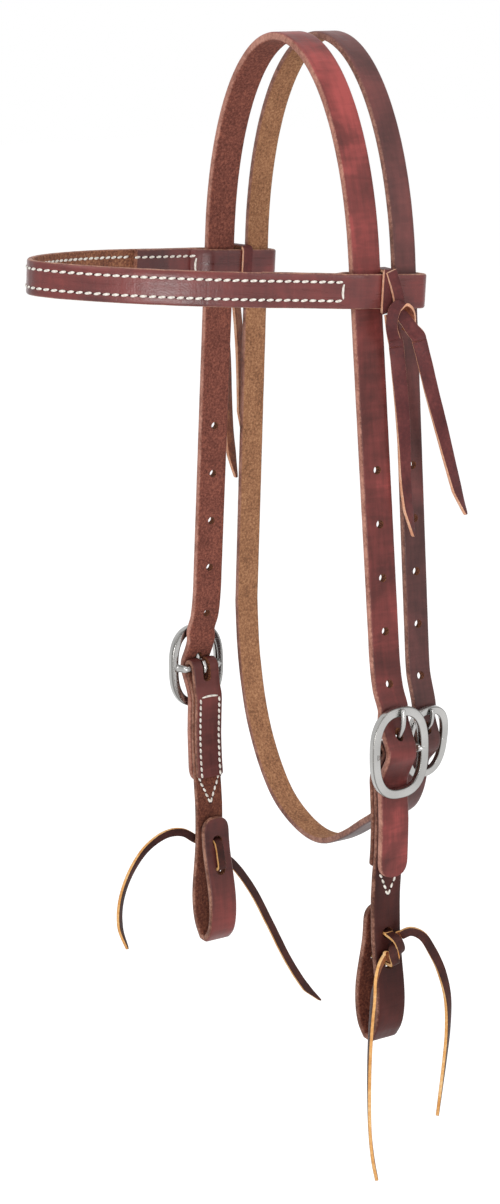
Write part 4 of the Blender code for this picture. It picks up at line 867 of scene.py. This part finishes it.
def makeThroat():
    near = throatLeg()
    farLeg = mirrored(archAndLeg(throat["legSpread"], -throat["sweepTop"]), -1)
    sweep = smoothLine([farLeg[-1]] + throatSweep()) + throatRise()[1:]
    lead = near[::-1] + farLeg + sweep[1:-1]
    skive = lengthsAlong(lead)[-1] - throat["width"]
    line = filledLine(lead + throatFold(), strap["rowStep"])
    line, widths = shapedEnds(line, throat["width"] / 2, roundTip)
    thinned = throat["folded"] - throat["thickness"]
    ramped = [min(1, max(0, (at - skive) / throat["skiveLength"])) for at in lengthsAlong(line)]
    thicks = [(throat["thickness"] + thinned * share) / 2 for share in ramped]
    shift = throat["setback"] * across
    line = [point + shift for point in line]
    piece = sweepStrap("throatStrap", line, across, widths, thicks, -1, leathers["throat"], cells=6)
    leg = [point + shift for point in near]
    cutters = [strapHoles("throatHoles", leg, throatBuckle, throatTurned, holes["throatUsed"])]
    cutters += slotCutters("throatSlot", throatBar + shift, throatBuckle["slot"],
                           eyeReach(throatBuckle) + fit["slotEnd"], throat["width"] / 2,
                           foldRadius(throatBuckle, throat["folded"]) + throat["folded"] / 2
                           + strap["layerGap"] / 2)
    cutWith(piece, cutters)
    dress(piece, "headpiece", "throat_strap")


# Browband: one strap, its ends turned back inside so that each makes a loop round crown and throat straps
band = {"thickness": 0.0028, "edgeRound": 0.0010, "drop": 0.1111, "reach": 0.1392, "halfWidth": 0.0648,
        "curveStart": 0.0310, "roundness": 1.65, "bowRows": 11, "tilt": math.radians(3.9), "loopBack": 0.0320,
        "loopGap": 0.0020, "foldRadius": 0.0045, "cornerRows": 14, "join": 0.0160, "linerEnd": 0.0550}
leaning = Matrix.Rotation(-band["tilt"], 3, "X")
upright = leaning @ up


def browbandStrapX():
    return archAndLeg(arch["crownSpread"], -band["drop"])[-1].x


def tilted(points):
    pivot = Vector((0, 0, -band["drop"]))
    return [pivot + leaning @ (point - pivot) for point in points]


def browbandHalf():
    height = -band["drop"]
    thickness = band["thickness"]
    gap = strap["crown"] / 2 + band["loopGap"] + thickness / 2
    outerX = browbandStrapX() + gap
    innerX = browbandStrapX() - gap
    back = band["loopBack"] - thickness / 2
    radius = band["foldRadius"]
    front = -strap["width"] / 2

    def corner(centreX, start):
        angles = [start - math.pi / 2 * i / band["cornerRows"] for i in range(band["cornerRows"] + 1)]
        return [Vector((centreX + radius * math.cos(a), back - radius + radius * math.sin(a), height))
                for a in angles]

    power = 2 / band["roundness"]
    width = band["halfWidth"] - thickness / 2
    depth = band["reach"] - thickness / 2 - band["curveStart"]
    angles = [math.pi / 2 * i / (band["bowRows"] + 0.5) for i in range(1, band["bowRows"] + 1)]
    bow = [Vector((width * math.cos(a) ** power, -band["curveStart"] - depth * math.sin(a) ** power, height))
           for a in angles]
    outside = smoothLine([Vector((outerX, 0, height)), Vector((outerX, front, height))] + bow
                         + [Vector((-bow[-1].x, bow[-1].y, height))])
    outside = [point for point in outside if point.x > 0.0006]
    inside = offsetLine(outside, -thickness - strap["layerGap"], up)
    liner = [point for point in inside if -band["linerEnd"] < point.y < -band["join"]]
    blend = smoothLine([liner[0], Vector((innerX, front, height)), Vector((innerX, 0, height))])
    loop = corner(innerX + radius, math.pi)[:-1] + corner(outerX - radius, math.pi / 2)
    return liner[::-1][:-1] + blend[:-1] + loop + outside[1:]


def browbandLine():
    half = browbandHalf()
    return filledLine(tilted(half + mirrored(half, -1)[::-1]), strap["rowStep"])


def makeBrowband():
    piece = sweepStrap("browband", browbandLine(), upright, strap["width"] / 2, band["thickness"] / 2, -1,
                       leathers["browband"], rounding=band["edgeRound"])
    smoothTo(piece, 50)
    dress(piece, "browband", "browband")


# Cheek straps: folded round the buckle's bar, and below into the loop that takes the bit
cheek = {"hangX": 0.0822, "hangDrop": 0.4000, "axisX": 0.0776, "halfWidth": 0.0087, "topDrop": 0.4120,
         "height": 0.0622, "holeDiameter": 0.0060, "holeDrops": (0.4195, 0.4345)}
outerStrand = ((0.53, 0.0), (0.58, 0.19), (0.77, 0.37), (0.97, 0.55), (1.03, 0.72), (0.80, 0.88), (0.26, 1.0))
innerStrand = ((-0.24, 1.0), (-0.72, 0.92), (-0.96, 0.80), (-0.99, 0.65), (-0.83, 0.50), (-0.56, 0.35),
               (-0.32, 0.20), (-0.21, 0.06), (-0.18, -0.08))


def bitLoopStrand(shares):
    return [Vector((cheek["axisX"] + cheek["halfWidth"] * x, 0, -cheek["topDrop"] - cheek["height"] * z))
            for x, z in shares]


def cheekLine():
    # the part turned back inside, the turn over the bar, and the part that hangs
    radius = foldRadius(cheekBuckle, strap["folded"])
    layer = strap["folded"] + strap["layerGap"]
    beneath = (strap["crown"] + strap["folded"]) / 2 + strap["layerGap"]
    over = arcLine(cheekBar, radius, math.pi, -crownTurn()[1])
    end = tips["turnedBackEnd"]
    run = [point for point in offsetLine(crownLeg(), beneath) if end < point.z < over[-1].z - finest]
    hang = Vector((cheek["hangX"], 0, -cheek["hangDrop"]))
    hanging = run + smoothLine([run[-1], hang] + bitLoopStrand(outerStrand))[1:]
    turned = offsetLine(hanging, layer)
    last = placeAt(turned, distanceOfHeight(turned, end))[0]
    back = [point for point in turned if point.z > end + finest and point.x < cheekBar.x - radius]
    return [last] + back[::-1], over, hanging + smoothLine(bitLoopStrand(innerStrand))


def makeCheek(name):
    side = sideOf(name)
    back, over, hanging = cheekLine()
    foldedLength = lengthsAlong(back + over)[-1]
    line = filledLine(back + over[:-1] + hanging, 0.0015)
    line, widths = shapedEnds(line, strap["width"] / 2, squareEnd, roundTip)
    thicks = []
    for point, at in zip(line, lengthsAlong(line)):
        grown = 0.0 if at < foldedLength else min(1, max(0, (tips["turnedBackEnd"] - point.z) / 0.006 + 0.5))
        thicks.append((strap["folded"] + (strap["cheek"] - strap["folded"]) * grown) / 2)
    piece = sweepStrap(name + "CheekStrap", mirrored(line, side), across, widths, thicks, side,
                       leathers[name + "Cheek"])
    half = cheek["holeDiameter"] / 2
    bar = Vector((side * cheekBar.x, cheekBar.y, cheekBar.z))
    places = [(Vector((side * cheek["axisX"], 0, -drop)), outward, up, half, half)
              for drop in cheek["holeDrops"]]
    cutters = [punches(name + "BitHoles", places)]
    cutters += slotCutters(name + "Slot", bar, cheekBuckle["slot"], eyeReach(cheekBuckle) + fit["slotEnd"],
                           strap["width"] / 2, foldRadius(cheekBuckle, strap["folded"]) + strap["width"] / 2)
    cutWith(piece, cutters)
    dress(piece, name + "_cheek", name + "_cheek_strap")


makeCrown()
makeThroat()
makeBrowband()
for name in ("near", "far"):
    makeCheek(name)
print("straps made")


# Buckle frames and tongues
barFoot = ((1.0, 1.0, 1.3), (0.8, 0.97, 1.25), (0.6, 0.88, 1.15), (0.4, 0.65, 1.07), (0.22, 0.36, 1.02),
           (0.1, 0.12, 1.0), (0.0, 0.0, 1.0))  # how far out, how far forward, how thick


def ringLine(buckle, count=120):
    # an oval between a rectangle and an ellipse, in even steps
    height = buckle["height"] - buckle["rail"]
    width = buckle["width"] - buckle["rail"]
    points = []
    for i in range(8 * count):
        angle = 2 * math.pi * i / (8 * count)
        c, s = math.cos(angle), math.sin(angle)
        points.append(Vector((buckle["setback"], math.copysign(abs(c) ** (2 / 2.6), c) * width / 2,
                              math.copysign(abs(s) ** (2 / 2.6), s) * height / 2)))
    points.append(points[0])
    total = lengthsAlong(points)
    return [placeAt(points, total[-1] * i / count)[0] for i in range(count)]


def railSection(width, thickness):
    # corners from the front inner one round; each place says how far it is on a bevel, where the steel is
    # painted darker as a painted reflection
    half, thick = width / 2, thickness / 2
    section = []
    for x, y, start, share in ((1, 1, 0, 0.34), (-1, 1, 90, 0.62), (-1, -1, 180, 0.62), (1, -1, 270, 0.34)):
        corner = share * thick
        centre = Vector((x * (thick - corner), y * (half - corner)))
        for k in range(5):
            turn = math.radians(start + 22.5 * k)
            a, b = centre + corner * Vector((math.cos(turn), math.sin(turn)))
            section.append((a, b, 1 - abs(k - 2) / 2))
    return section


def makeFrame(name, buckle, place, body, node):
    line = ringLine(buckle)
    ring = [line[-1]] + line + [line[0]]
    shape = bmesh.new()
    sideLayer = shape.loops.layers.uv.new("side")
    section = railSection(buckle["rail"], buckle["thickness"])
    rows = []
    for i, point in enumerate(line):
        out = (ring[i + 2] - ring[i]).cross(outward).normalized()
        rows.append([shape.verts.new(point + outward * a + out * b) for a, b, bevel in section])
    for face, i, k, m in skin(shape, rows, closed=True):
        for loop, column in zip(face.loops, (k, m, m, k)):
            loop[sideLayer].uv = (section[column][2], 0)
    bmesh.ops.recalc_face_normals(shape, faces=shape.faces)
    frameRing = meshObject(name + "Ring", shape, steel)
    reach = (buckle["width"] - buckle["rail"]) / 2
    foot = buckle["carries"] / 2 + fit["footGap"] + buckle["bar"] / 4
    radius = buckle["bar"] / 2
    half = filledLine([Vector((buckle["setback"] * forward, -foot - (reach - foot) * out, swell * radius))
                       for out, forward, swell in barFoot], 0.0005)  # the radius rides in Z
    whole = half + [Vector((point.x, -point.y, point.z)) for point in half[::-1]]
    bar = [Vector((point.x, point.y, 0)) for point in whole]
    crossBar = tube(name + "Bar", bar, [point.z for point in whole], steel, sides=20)
    piece = joined(name, [frameRing, crossBar])
    piece.data.transform(place)
    smoothTo(piece, 60)
    dress(piece, body, node)


def makeTongue(name, buckle, place, body, node):
    wire = buckle["tongue"]
    eye, rise = tongueLine(buckle)
    line = filledLine(eye + rise, 0.0006)
    total = lengthsAlong(line)
    radii = []
    for at in total:
        left = min(1, 2 * (total[-1] - at) / wire)  # the last half wire's length rounds off the tip
        radii.append(wire / 2 * math.sqrt(max(0.02, 1 - (1 - left) ** 2)))
    piece = tube(name, line, radii, steel, sides=20)
    piece.data.transform(place)
    dress(piece, body, node)


for name in ("near", "far"):
    place, body = buckleTurn(name), name + "_cheek"
    makeFrame(name + "CheekBuckle", cheekBuckle, place, body + "_buckle", body + "_buckle_frame")
    makeTongue(name + "CheekTongue", cheekBuckle, place, body + "_tongue", body + "_buckle_tongue")
makeFrame("throatBuckleFrame", throatBuckle, throatTurned, "throat_buckle", "throat_buckle_frame")
makeTongue("throatBuckleTongue", throatBuckle, throatTurned, "throat_tongue", "throat_buckle_tongue")
print("buckles made")


# Ties. Each knot of a bit tie has an upper and a lower lead: how far out, aside and up, in laces.
bitKnot = {
    "near": (((2.0, 0.15, 1.35), (2.3, 0.5, 0.55), (1.6, 0.75, -0.25), (0.6, 0.45, -0.8), (0.4, -0.2, -0.85)),
             ((2.0, -0.1, -1.35), (2.0, -0.3, -0.45), (1.2, -0.1, 0.2), (0.6, 0.35, 0.75))),
    "far": (((2.0, 0.15, 1.35), (2.3, 0.5, 0.55), (1.8, 0.85, -0.1)),
            ((2.0, -0.1, -1.35), (2.0, -0.3, -0.45), (1.3, -0.4, 0.3))),
}


def leadingTo(ending, side):
    first, second = mirrored([Vector(point) for point in ending[0][:2]], side)
    return [first - lacing["lead"] * (second - first).normalized(), first]


def crossingX(points, height):
    for a, b in zip(points, points[1:]):
        if min(a.z, b.z) <= height <= max(a.z, b.z):
            return a.x + (b.x - a.x) * (height - a.z) / (b.z - a.z)


def makeBitTie(name):
    side = sideOf(name)
    front, back = tails[name + "_bit_tie"]
    upperEnd, lowerEnd = (front, back) if name == "near" else (back, front)
    high, low = (-drop for drop in cheek["holeDrops"])
    width, thickness = lacing["bitWidth"], lacing["thickness"]
    inside = strap["cheek"] / 2 + fit["tieGap"] + thickness / 2
    outer = smoothLine(bitLoopStrand(outerStrand))
    inner = smoothLine(bitLoopStrand(innerStrand))
    topIn, lowIn = (crossingX(inner, height) - inside for height in (high, low))
    topOut, lowOut = (crossingX(outer, height) + inside for height in (high, low))
    middle = (high + low) / 2
    bend = 1.2 * thickness
    bridge = smoothLine([Vector((x, 0, z)) for x, z in (
        (topOut, high), ((topOut + topIn) / 2, high), (topIn + bend, high), (topIn, high - 0.7 * bend),
        ((topIn + lowIn) / 2 - fit["tieGap"], middle),
        (lowIn, low + 0.7 * bend), (lowIn + bend, low), ((lowOut + lowIn) / 2, low), (lowOut, low),
    )], math.radians(8))
    bridge = filledLine(mirrored(bridge, side), 0.001)
    bands = [laceBand(name + "Bridge", bridge, across, width, -side)]
    face = lowOut + fit["tieGap"]
    ends = ((topOut, high, upperEnd, side), (lowOut, low, lowerEnd, -side))
    for (startX, startZ, ending, grain), shares in zip(ends, bitKnot[name]):
        line = smoothLine([
            Vector((startX - thickness, 0, startZ)),
            *(Vector((face + out * thickness, aside * width, middle + rise * width))
              for out, aside, rise in shares),
            *leadingTo(ending, side),
        ], math.radians(7))
        line = filledLine(line, 0.0008)
        sides = blended(across, mirrored([Vector(ending[1])], side)[0], len(line))
        bands.append(laceBand(name + "Band", mirrored(line, side), mirrored(sides, side), width, grain))
    dress(joined(name + "BitTie", bands), name + "_cheek", name + "_bit_tie")


browKnot = {
    "over": ((0.0735, 0.0080, -0.1020), (0.0742, 0.0100, -0.1085), (0.0752, 0.0112, -0.1150),
             (0.0760, 0.0110, -0.1205)),
    "hitch": ((0.0772, 0.0075, -0.1330), (0.0785, 0.0050, -0.1275), (0.0792, 0.0050, -0.1220),
              (0.0794, 0.0068, -0.1180), (0.0794, 0.0098, -0.1166), (0.0792, 0.0130, -0.1185),
              (0.0786, 0.0150, -0.1220), (0.0776, 0.0158, -0.1260), (0.0764, 0.0150, -0.1300)),
    "frontLead": ((0.0738, 0.0072, -0.1215), (0.0750, 0.0080, -0.1290)),
    "backLead": ((0.0764, 0.0098, -0.1195), (0.0786, 0.0128, -0.1245), (0.0797, 0.0162, -0.1292)),
}


def browWrap():
    # the ring round the browband's loop, between crown and throat straps, leaning forward outside
    thickness = lacing["thickness"]
    strapX = browbandStrapX()
    shell = strap["crown"] / 2 + band["loopGap"] + band["thickness"] + fit["tieGap"] + thickness / 2
    high = strap["width"] / 2 + fit["tieGap"] + thickness / 2
    between = (strap["width"] / 2 + throat["setback"] - throat["width"] / 2) / 2
    corner = 1.3 * thickness
    ring = []
    for x, z, start in ((1, 1, 0.5), (-1, 1, 1.0), (-1, -1, 1.5), (1, -1, 2.0)):
        centre = Vector((strapX + x * shell - x * corner, between, -band["drop"] + z * high - z * corner))
        for i in range(9):
            angle = math.pi * (start - 0.5 + i / 16)
            ring.append(centre + corner * Vector((math.cos(angle), 0, math.sin(angle))))
    return tilted([Vector((p.x, p.y - 0.0052 * max(0, (p.x - strapX) / shell) ** 2, p.z)) for p in ring])


def makeBrowTie(name):
    side = sideOf(name)
    front, back = tails[name + "_browband_tie"]
    width = lacing["browWrap"]
    bands = [laceBand(name + "BrowbandWrap", mirrored(browWrap(), side), across, width, -side, closed=True)]
    for bandName, start, last, ending in (("over", (0, 1, 0.15), (0, 1, 0.5), None),
                                          ("hitch", (0.5, 0.85, 0), (0.75, 0.5, -0.4), None),
                                          ("frontLead", (0, 1, 0.1), front[1], front),
                                          ("backLead", (0.2, 0.9, 0.4), back[1], back)):
        line = smoothLine([Vector(point) for point in browKnot[bandName]]
                          + (leadingTo(ending, side) if ending else []), math.radians(6))
        line = filledLine(line, 0.0008)
        count = len(line)
        last = Vector((side * last[0], last[1], last[2])) if ending else Vector(last)
        sides = blended(Vector(start), last, count)
        halves = None
        if ending:  # a lead grows from the width of the wrap to that of its loose end
            grown = lacing["browWidth"] - width
            halves = [(width + grown * min(1, 1.4 * i / count)) / 2 for i in range(count)]
        bands.append(laceBand(name + "BrowbandBand", mirrored(line, side), mirrored(sides, side), width,
                              -side if bandName == "hitch" else side, halves))
    dress(joined(name + "BrowbandTie", bands), "browband", name + "_browband_tie")


for name in ("near", "far"):
    makeBitTie(name)
    makeBrowTie(name)
print("ties knotted")


# Stitching: the browband's two rows, and the long box with a point on each cheek
stitch = {"pitch": 0.0041, "length": 0.0034, "width": 0.0013, "height": 0.0008, "slant": math.radians(9),
          "rowInset": 0.00425, "dimple": 0.0009, "closing": 0.0068, "closingBow": 0.0005, "lift": 0.0001,
          "seed": 7}
box = {"pitch": 0.0033, "length": 0.0027, "half": 0.0057, "top": -0.3407, "bottom": -0.3986}


def stitchTree():
    # a slanted bead of thread every pitch along the line, and a pressed dimple half way to the next, dark
    # with painted shade of the awl hole
    tree = bpy.data.node_groups.new("lockstitch row", "GeometryNodeTree")
    tree.is_modifier = True
    inputs = {"Geometry": "Geometry", "Pitch": "Float", "Length": "Float", "Width": "Float",
              "Height": "Float", "Slant": "Float", "Dimple": "Float", "Seed": "Int", "Thread": "Material",
              "PressedWithHoleShade": "Material"}
    for label, kind in inputs.items():
        tree.interface.new_socket(label, in_out="INPUT", socket_type="NodeSocket" + kind)
    tree.interface.new_socket("Geometry", in_out="OUTPUT", socket_type="NodeSocketGeometry")
    add = partial(addNode, tree)
    given = add("NodeGroupInput").outputs
    curve = add("GeometryNodeMeshToCurve", {"Mesh": given["Geometry"]})
    row = add("GeometryNodeResampleCurve", {"Curve": curve, "Length": given["Pitch"]}, mode="LENGTH")
    facing = add("GeometryNodeInputNamedAttribute", {"Name": "facing"},
                 data_type="FLOAT_VECTOR").outputs["Attribute"]
    tangent = add("GeometryNodeInputTangent")
    turned = add("FunctionNodeAlignRotationToVector", {"Vector": facing}, axis="Z")
    turned = add("FunctionNodeAlignRotationToVector", {"Rotation": turned, "Vector": tangent}, axis="X",
                 pivot_axis="Z")
    shake = add("FunctionNodeRandomValue", {2: -0.07, 3: 0.07, "Seed": given["Seed"]}, data_type="FLOAT")
    lean = add("ShaderNodeMath", {0: given["Slant"], 1: shake.outputs[1]}, operation="ADD")
    spin = add("ShaderNodeCombineXYZ", {"Z": lean})
    slanted = add("FunctionNodeRotateRotation", {"Rotation": turned, "Rotate By": spin},
                  rotation_space="LOCAL")
    ball = add("GeometryNodeMeshUVSphere", {"Segments": 10, "Rings": 7, "Radius": 0.5})
    onSide = add("GeometryNodeTransform", {"Geometry": ball.outputs["Mesh"],
                                           "Rotation": (0, math.pi / 2, 0)})
    size = add("ShaderNodeCombineXYZ", {"X": given["Length"], "Y": given["Width"], "Z": given["Height"]})
    half = add("ShaderNodeMath", {0: given["Pitch"], 1: 0.5}, operation="MULTIPLY")
    step = add("ShaderNodeVectorMath", {0: tangent, "Scale": half}, operation="SCALE")
    moved = add("GeometryNodeSetPosition", {"Geometry": row, "Offset": step})
    depth = add("ShaderNodeMath", {0: given["Dimple"], 1: 0.22}, operation="MULTIPLY")
    pitSize = add("ShaderNodeCombineXYZ", {"X": given["Dimple"], "Y": given["Dimple"], "Z": depth})
    both = add("GeometryNodeJoinGeometry")
    for points, scale, turn, material in ((moved, pitSize, turned, given["PressedWithHoleShade"]),
                                          (row, size, slanted, given["Thread"])):
        bead = add("GeometryNodeTransform", {"Geometry": onSide, "Scale": scale})
        beads = add("GeometryNodeInstanceOnPoints", {"Points": points, "Instance": bead, "Rotation": turn})
        beads = add("GeometryNodeRealizeInstances", {"Geometry": beads})
        beads = add("GeometryNodeSetMaterial", {"Geometry": beads, "Material": material})
        tree.links.new(beads.outputs[0], both.inputs[0])
    smooth = add("GeometryNodeSetShadeSmooth", {"Geometry": both})
    add("NodeGroupOutput", {"Geometry": smooth})
    return tree


lockstitch = stitchTree()


def sewn(name, rows, closings, body, pitch, length):
    # rows are lists of a place and the way that its face looks; closings are single long stitches
    verts, edges, facings = [], [], []
    for row in rows:
        for i, (point, facing) in enumerate(row):
            if i:
                edges.append((len(verts) - 1, len(verts)))
            verts.append(point)
            facings += list(facing)
    mesh = bpy.data.meshes.new(name)
    mesh.from_pydata(verts, edges, [])
    mesh.attributes.new("facing", "FLOAT_VECTOR", "POINT").data.foreach_set("vector", facings)
    rowPiece = newObject(name + "Rows", mesh)
    modifier = rowPiece.modifiers.new("stitches", "NODES")
    modifier.node_group = lockstitch
    given = {"Pitch": pitch, "Length": length, "Thread": thread, "PressedWithHoleShade": dimple}
    for label in ("width", "height", "slant", "dimple", "seed"):
        given[label.capitalize()] = stitch[label]
    for item in lockstitch.interface.items_tree:
        if item.in_out == "INPUT" and item.name in given:
            modifier[item.identifier] = given[item.name]
    appliedMesh(rowPiece)
    pieces = [rowPiece]
    for number, (start, end, facing) in enumerate(closings):
        side = facing.cross(end - start).normalized()
        line, radii = [], []
        for share in (i / 12 for i in range(13)):
            bow = math.sin(math.pi * share)
            line.append(start.lerp(end, share) + stitch["closingBow"] * bow * side + 0.0002 * bow * facing)
            radii.append(stitch["width"] / 2 * (0.45 + 0.45 * bow ** 0.5))
        pieces.append(tube(name + str(number), line, radii, thread, sides=8))
    piece = joined(name, pieces)
    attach(piece, body)


def rowAlong(line, facingSign, aside, lift, test):
    # the places of the browband's line that pass a test, moved aside and lifted off the face
    row = []
    for point, along in zip(line, tangentsOf(line)):
        if test(point):
            facing = along.cross(upright) * facingSign
            row.append((point + upright * aside + facing * lift, facing))
    return row


def sewBrowband():
    line = browbandLine()
    count = len(line)
    back = max(range(count // 2), key=lambda i: line[i].y)
    liners = (line[:back], line[count - back:])
    outside = line[back:count - back]
    lift = band["thickness"] / 2 + stitch["lift"]
    join, linerEnd = -band["join"], -band["linerEnd"]
    rows = []
    for aside in (-stitch["rowInset"], stitch["rowInset"]):
        rows.append(rowAlong(outside, -1, aside, lift, lambda p: p.y < join))
        rows.append(rowAlong(outside, 1, aside, lift, lambda p: p.y < linerEnd - 0.0015))
        for liner in liners:
            rows.append(rowAlong(liner, -1, aside, lift, lambda p: linerEnd + 0.001 < p.y < join + 0.0015))
    closings = []
    for run, level in ((outside, join + 0.0005), (liners[0], join + 0.002), (liners[1], join + 0.002)):
        tangents = tangentsOf(run)
        for i in range(len(run) - 1):
            if (run[i].y - level) * (run[i + 1].y - level) <= 0:
                facing = tangents[i].cross(upright) * -1
                share = (level - run[i].y) / (run[i + 1].y - run[i].y)
                place = run[i].lerp(run[i + 1], share) + facing * lift
                reach = upright * stitch["closing"] / 2
                forward = 1 if facing.cross(2 * reach).y < 0 else -1
                closings.append((place - reach * forward, place + reach * forward, facing))
    sewn("browbandStitches", rows, closings, "browband", stitch["pitch"], stitch["length"])


def sewCheek(name):
    side = sideOf(name)
    back, over, hanging = cheekLine()

    def onFace(line, height, aside, sign, lift):
        # a place on one face of the strap at a height, and the way the face looks
        point, along = placeAt(line, distanceOfHeight(line, height))
        facing = Vector((sign * along.cross(across).x, 0, sign * along.cross(across).z))
        return tuple(mirrored([point + across * aside + facing * lift, facing], side))

    turned = back[::-1]  # from the bar down
    folded = strap["folded"] / 2 + stitch["lift"]
    single = strap["cheek"] / 2 + stitch["lift"]
    end = tips["turnedBackEnd"]
    rows = []
    for aside in (-box["half"], box["half"]):
        first, last = box["top"] - 0.0018, end + 0.0016
        rows.append([onFace(turned, first + (last - first) * i / 30, aside, -1, folded) for i in range(31)])
        point = ((end - 0.0012, 1.0), (end - 0.0040, 0.83), (end - 0.0085, 0.47), (box["bottom"], 0.12))
        for sign, start in ((-1, 0), (1, 1)):
            rows.append([onFace(hanging, height, aside * share, sign, single)
                         for height, share in point[start:]])
    first = onFace(turned, box["top"], -box["half"] + 0.0009, -1, folded)
    last = onFace(turned, box["top"], box["half"] - 0.0009, -1, folded)
    closings = [(first[0], last[0], first[1])]
    sewn(name + "CheekStitches", rows, closings, name + "_cheek", box["pitch"], box["length"])


sewBrowband()
for name in ("near", "far"):
    sewCheek(name)
print("stitches sewn")


# Floor, background and lamps: place, aim, size and power of each
stage = {"floor": -0.5700, "size": 14.0, "paper": "ececec", "seenWhite": 0.55, "ambient": 0.55}
middle = (0, 0, -0.27)
lamps = {
    "keySoftbox": ((0.7, -1.5, 0.9), middle, (1.0, 1.2), 9),
    "fillSoftbox": ((1.6, 0.5, 0.5), middle, (0.8, 1.2), 5),
    "topSoftbox": ((0.0, -0.1, 1.5), middle, (1.4, 1.2), 6),
    "lowSoftbox": ((1.45, -0.78, -0.37), (0, 0, -0.13), (0.50, 0.36), 7.5),
}


def seenRays(add):
    rays = add("ShaderNodeLightPath").outputs
    mirrors = add("ShaderNodeMath", {0: rays["Is Glossy Ray"], 1: rays["Is Transmission Ray"]},
                  operation="MAXIMUM")
    return add("ShaderNodeMath", {0: rays["Is Camera Ray"], 1: mirrors}, operation="MAXIMUM")


def makeFloor():
    shape = bmesh.new()
    bmesh.ops.create_grid(shape, x_segments=1, y_segments=1, size=stage["size"] / 2,
                          matrix=Matrix.Translation((0, 0, stage["floor"])))
    material = bpy.data.materials.new("pale paper floor")
    add = partial(addNode, emptyTree(material))
    paper = add("ShaderNodeBsdfDiffuse", {"Color": toLinear(stage["paper"])})
    strength = add("ShaderNodeMath", {0: seenRays(add), 1: stage["seenWhite"]}, operation="MULTIPLY")
    white = add("ShaderNodeEmission", {"Color": (1, 1, 1, 1), "Strength": strength})
    both = add("ShaderNodeAddShader", {0: paper, 1: white})
    add("ShaderNodeOutputMaterial", {"Surface": both})
    meshObject("floor", shape, material)


def makeWorld():
    world = bpy.data.worlds.new("studio")
    bpy.context.scene.world = world
    add = partial(addNode, emptyTree(world))
    strength = add("ShaderNodeMapRange", {"Value": seenRays(add), "To Min": stage["ambient"]})
    back = add("ShaderNodeBackground", {"Color": (1, 1, 1, 1), "Strength": strength})
    add("ShaderNodeOutputWorld", {"Surface": back})


def makeLamp(name, place, aim, size, power):
    data = bpy.data.lights.new(name, "AREA")
    data.shape = "RECTANGLE"
    data.size, data.size_y = size
    data.energy = power
    turn = (Vector(place) - Vector(aim)).to_track_quat("Z", "Y").to_matrix().to_4x4()
    newObject(name, data).matrix_world = Matrix.Translation(place) @ turn


makeFloor()
makeWorld()
for name, lamp in lamps.items():
    makeLamp(name, *lamp)
bpy.context.scene.view_settings.view_transform = "Standard"
print("stage lit")
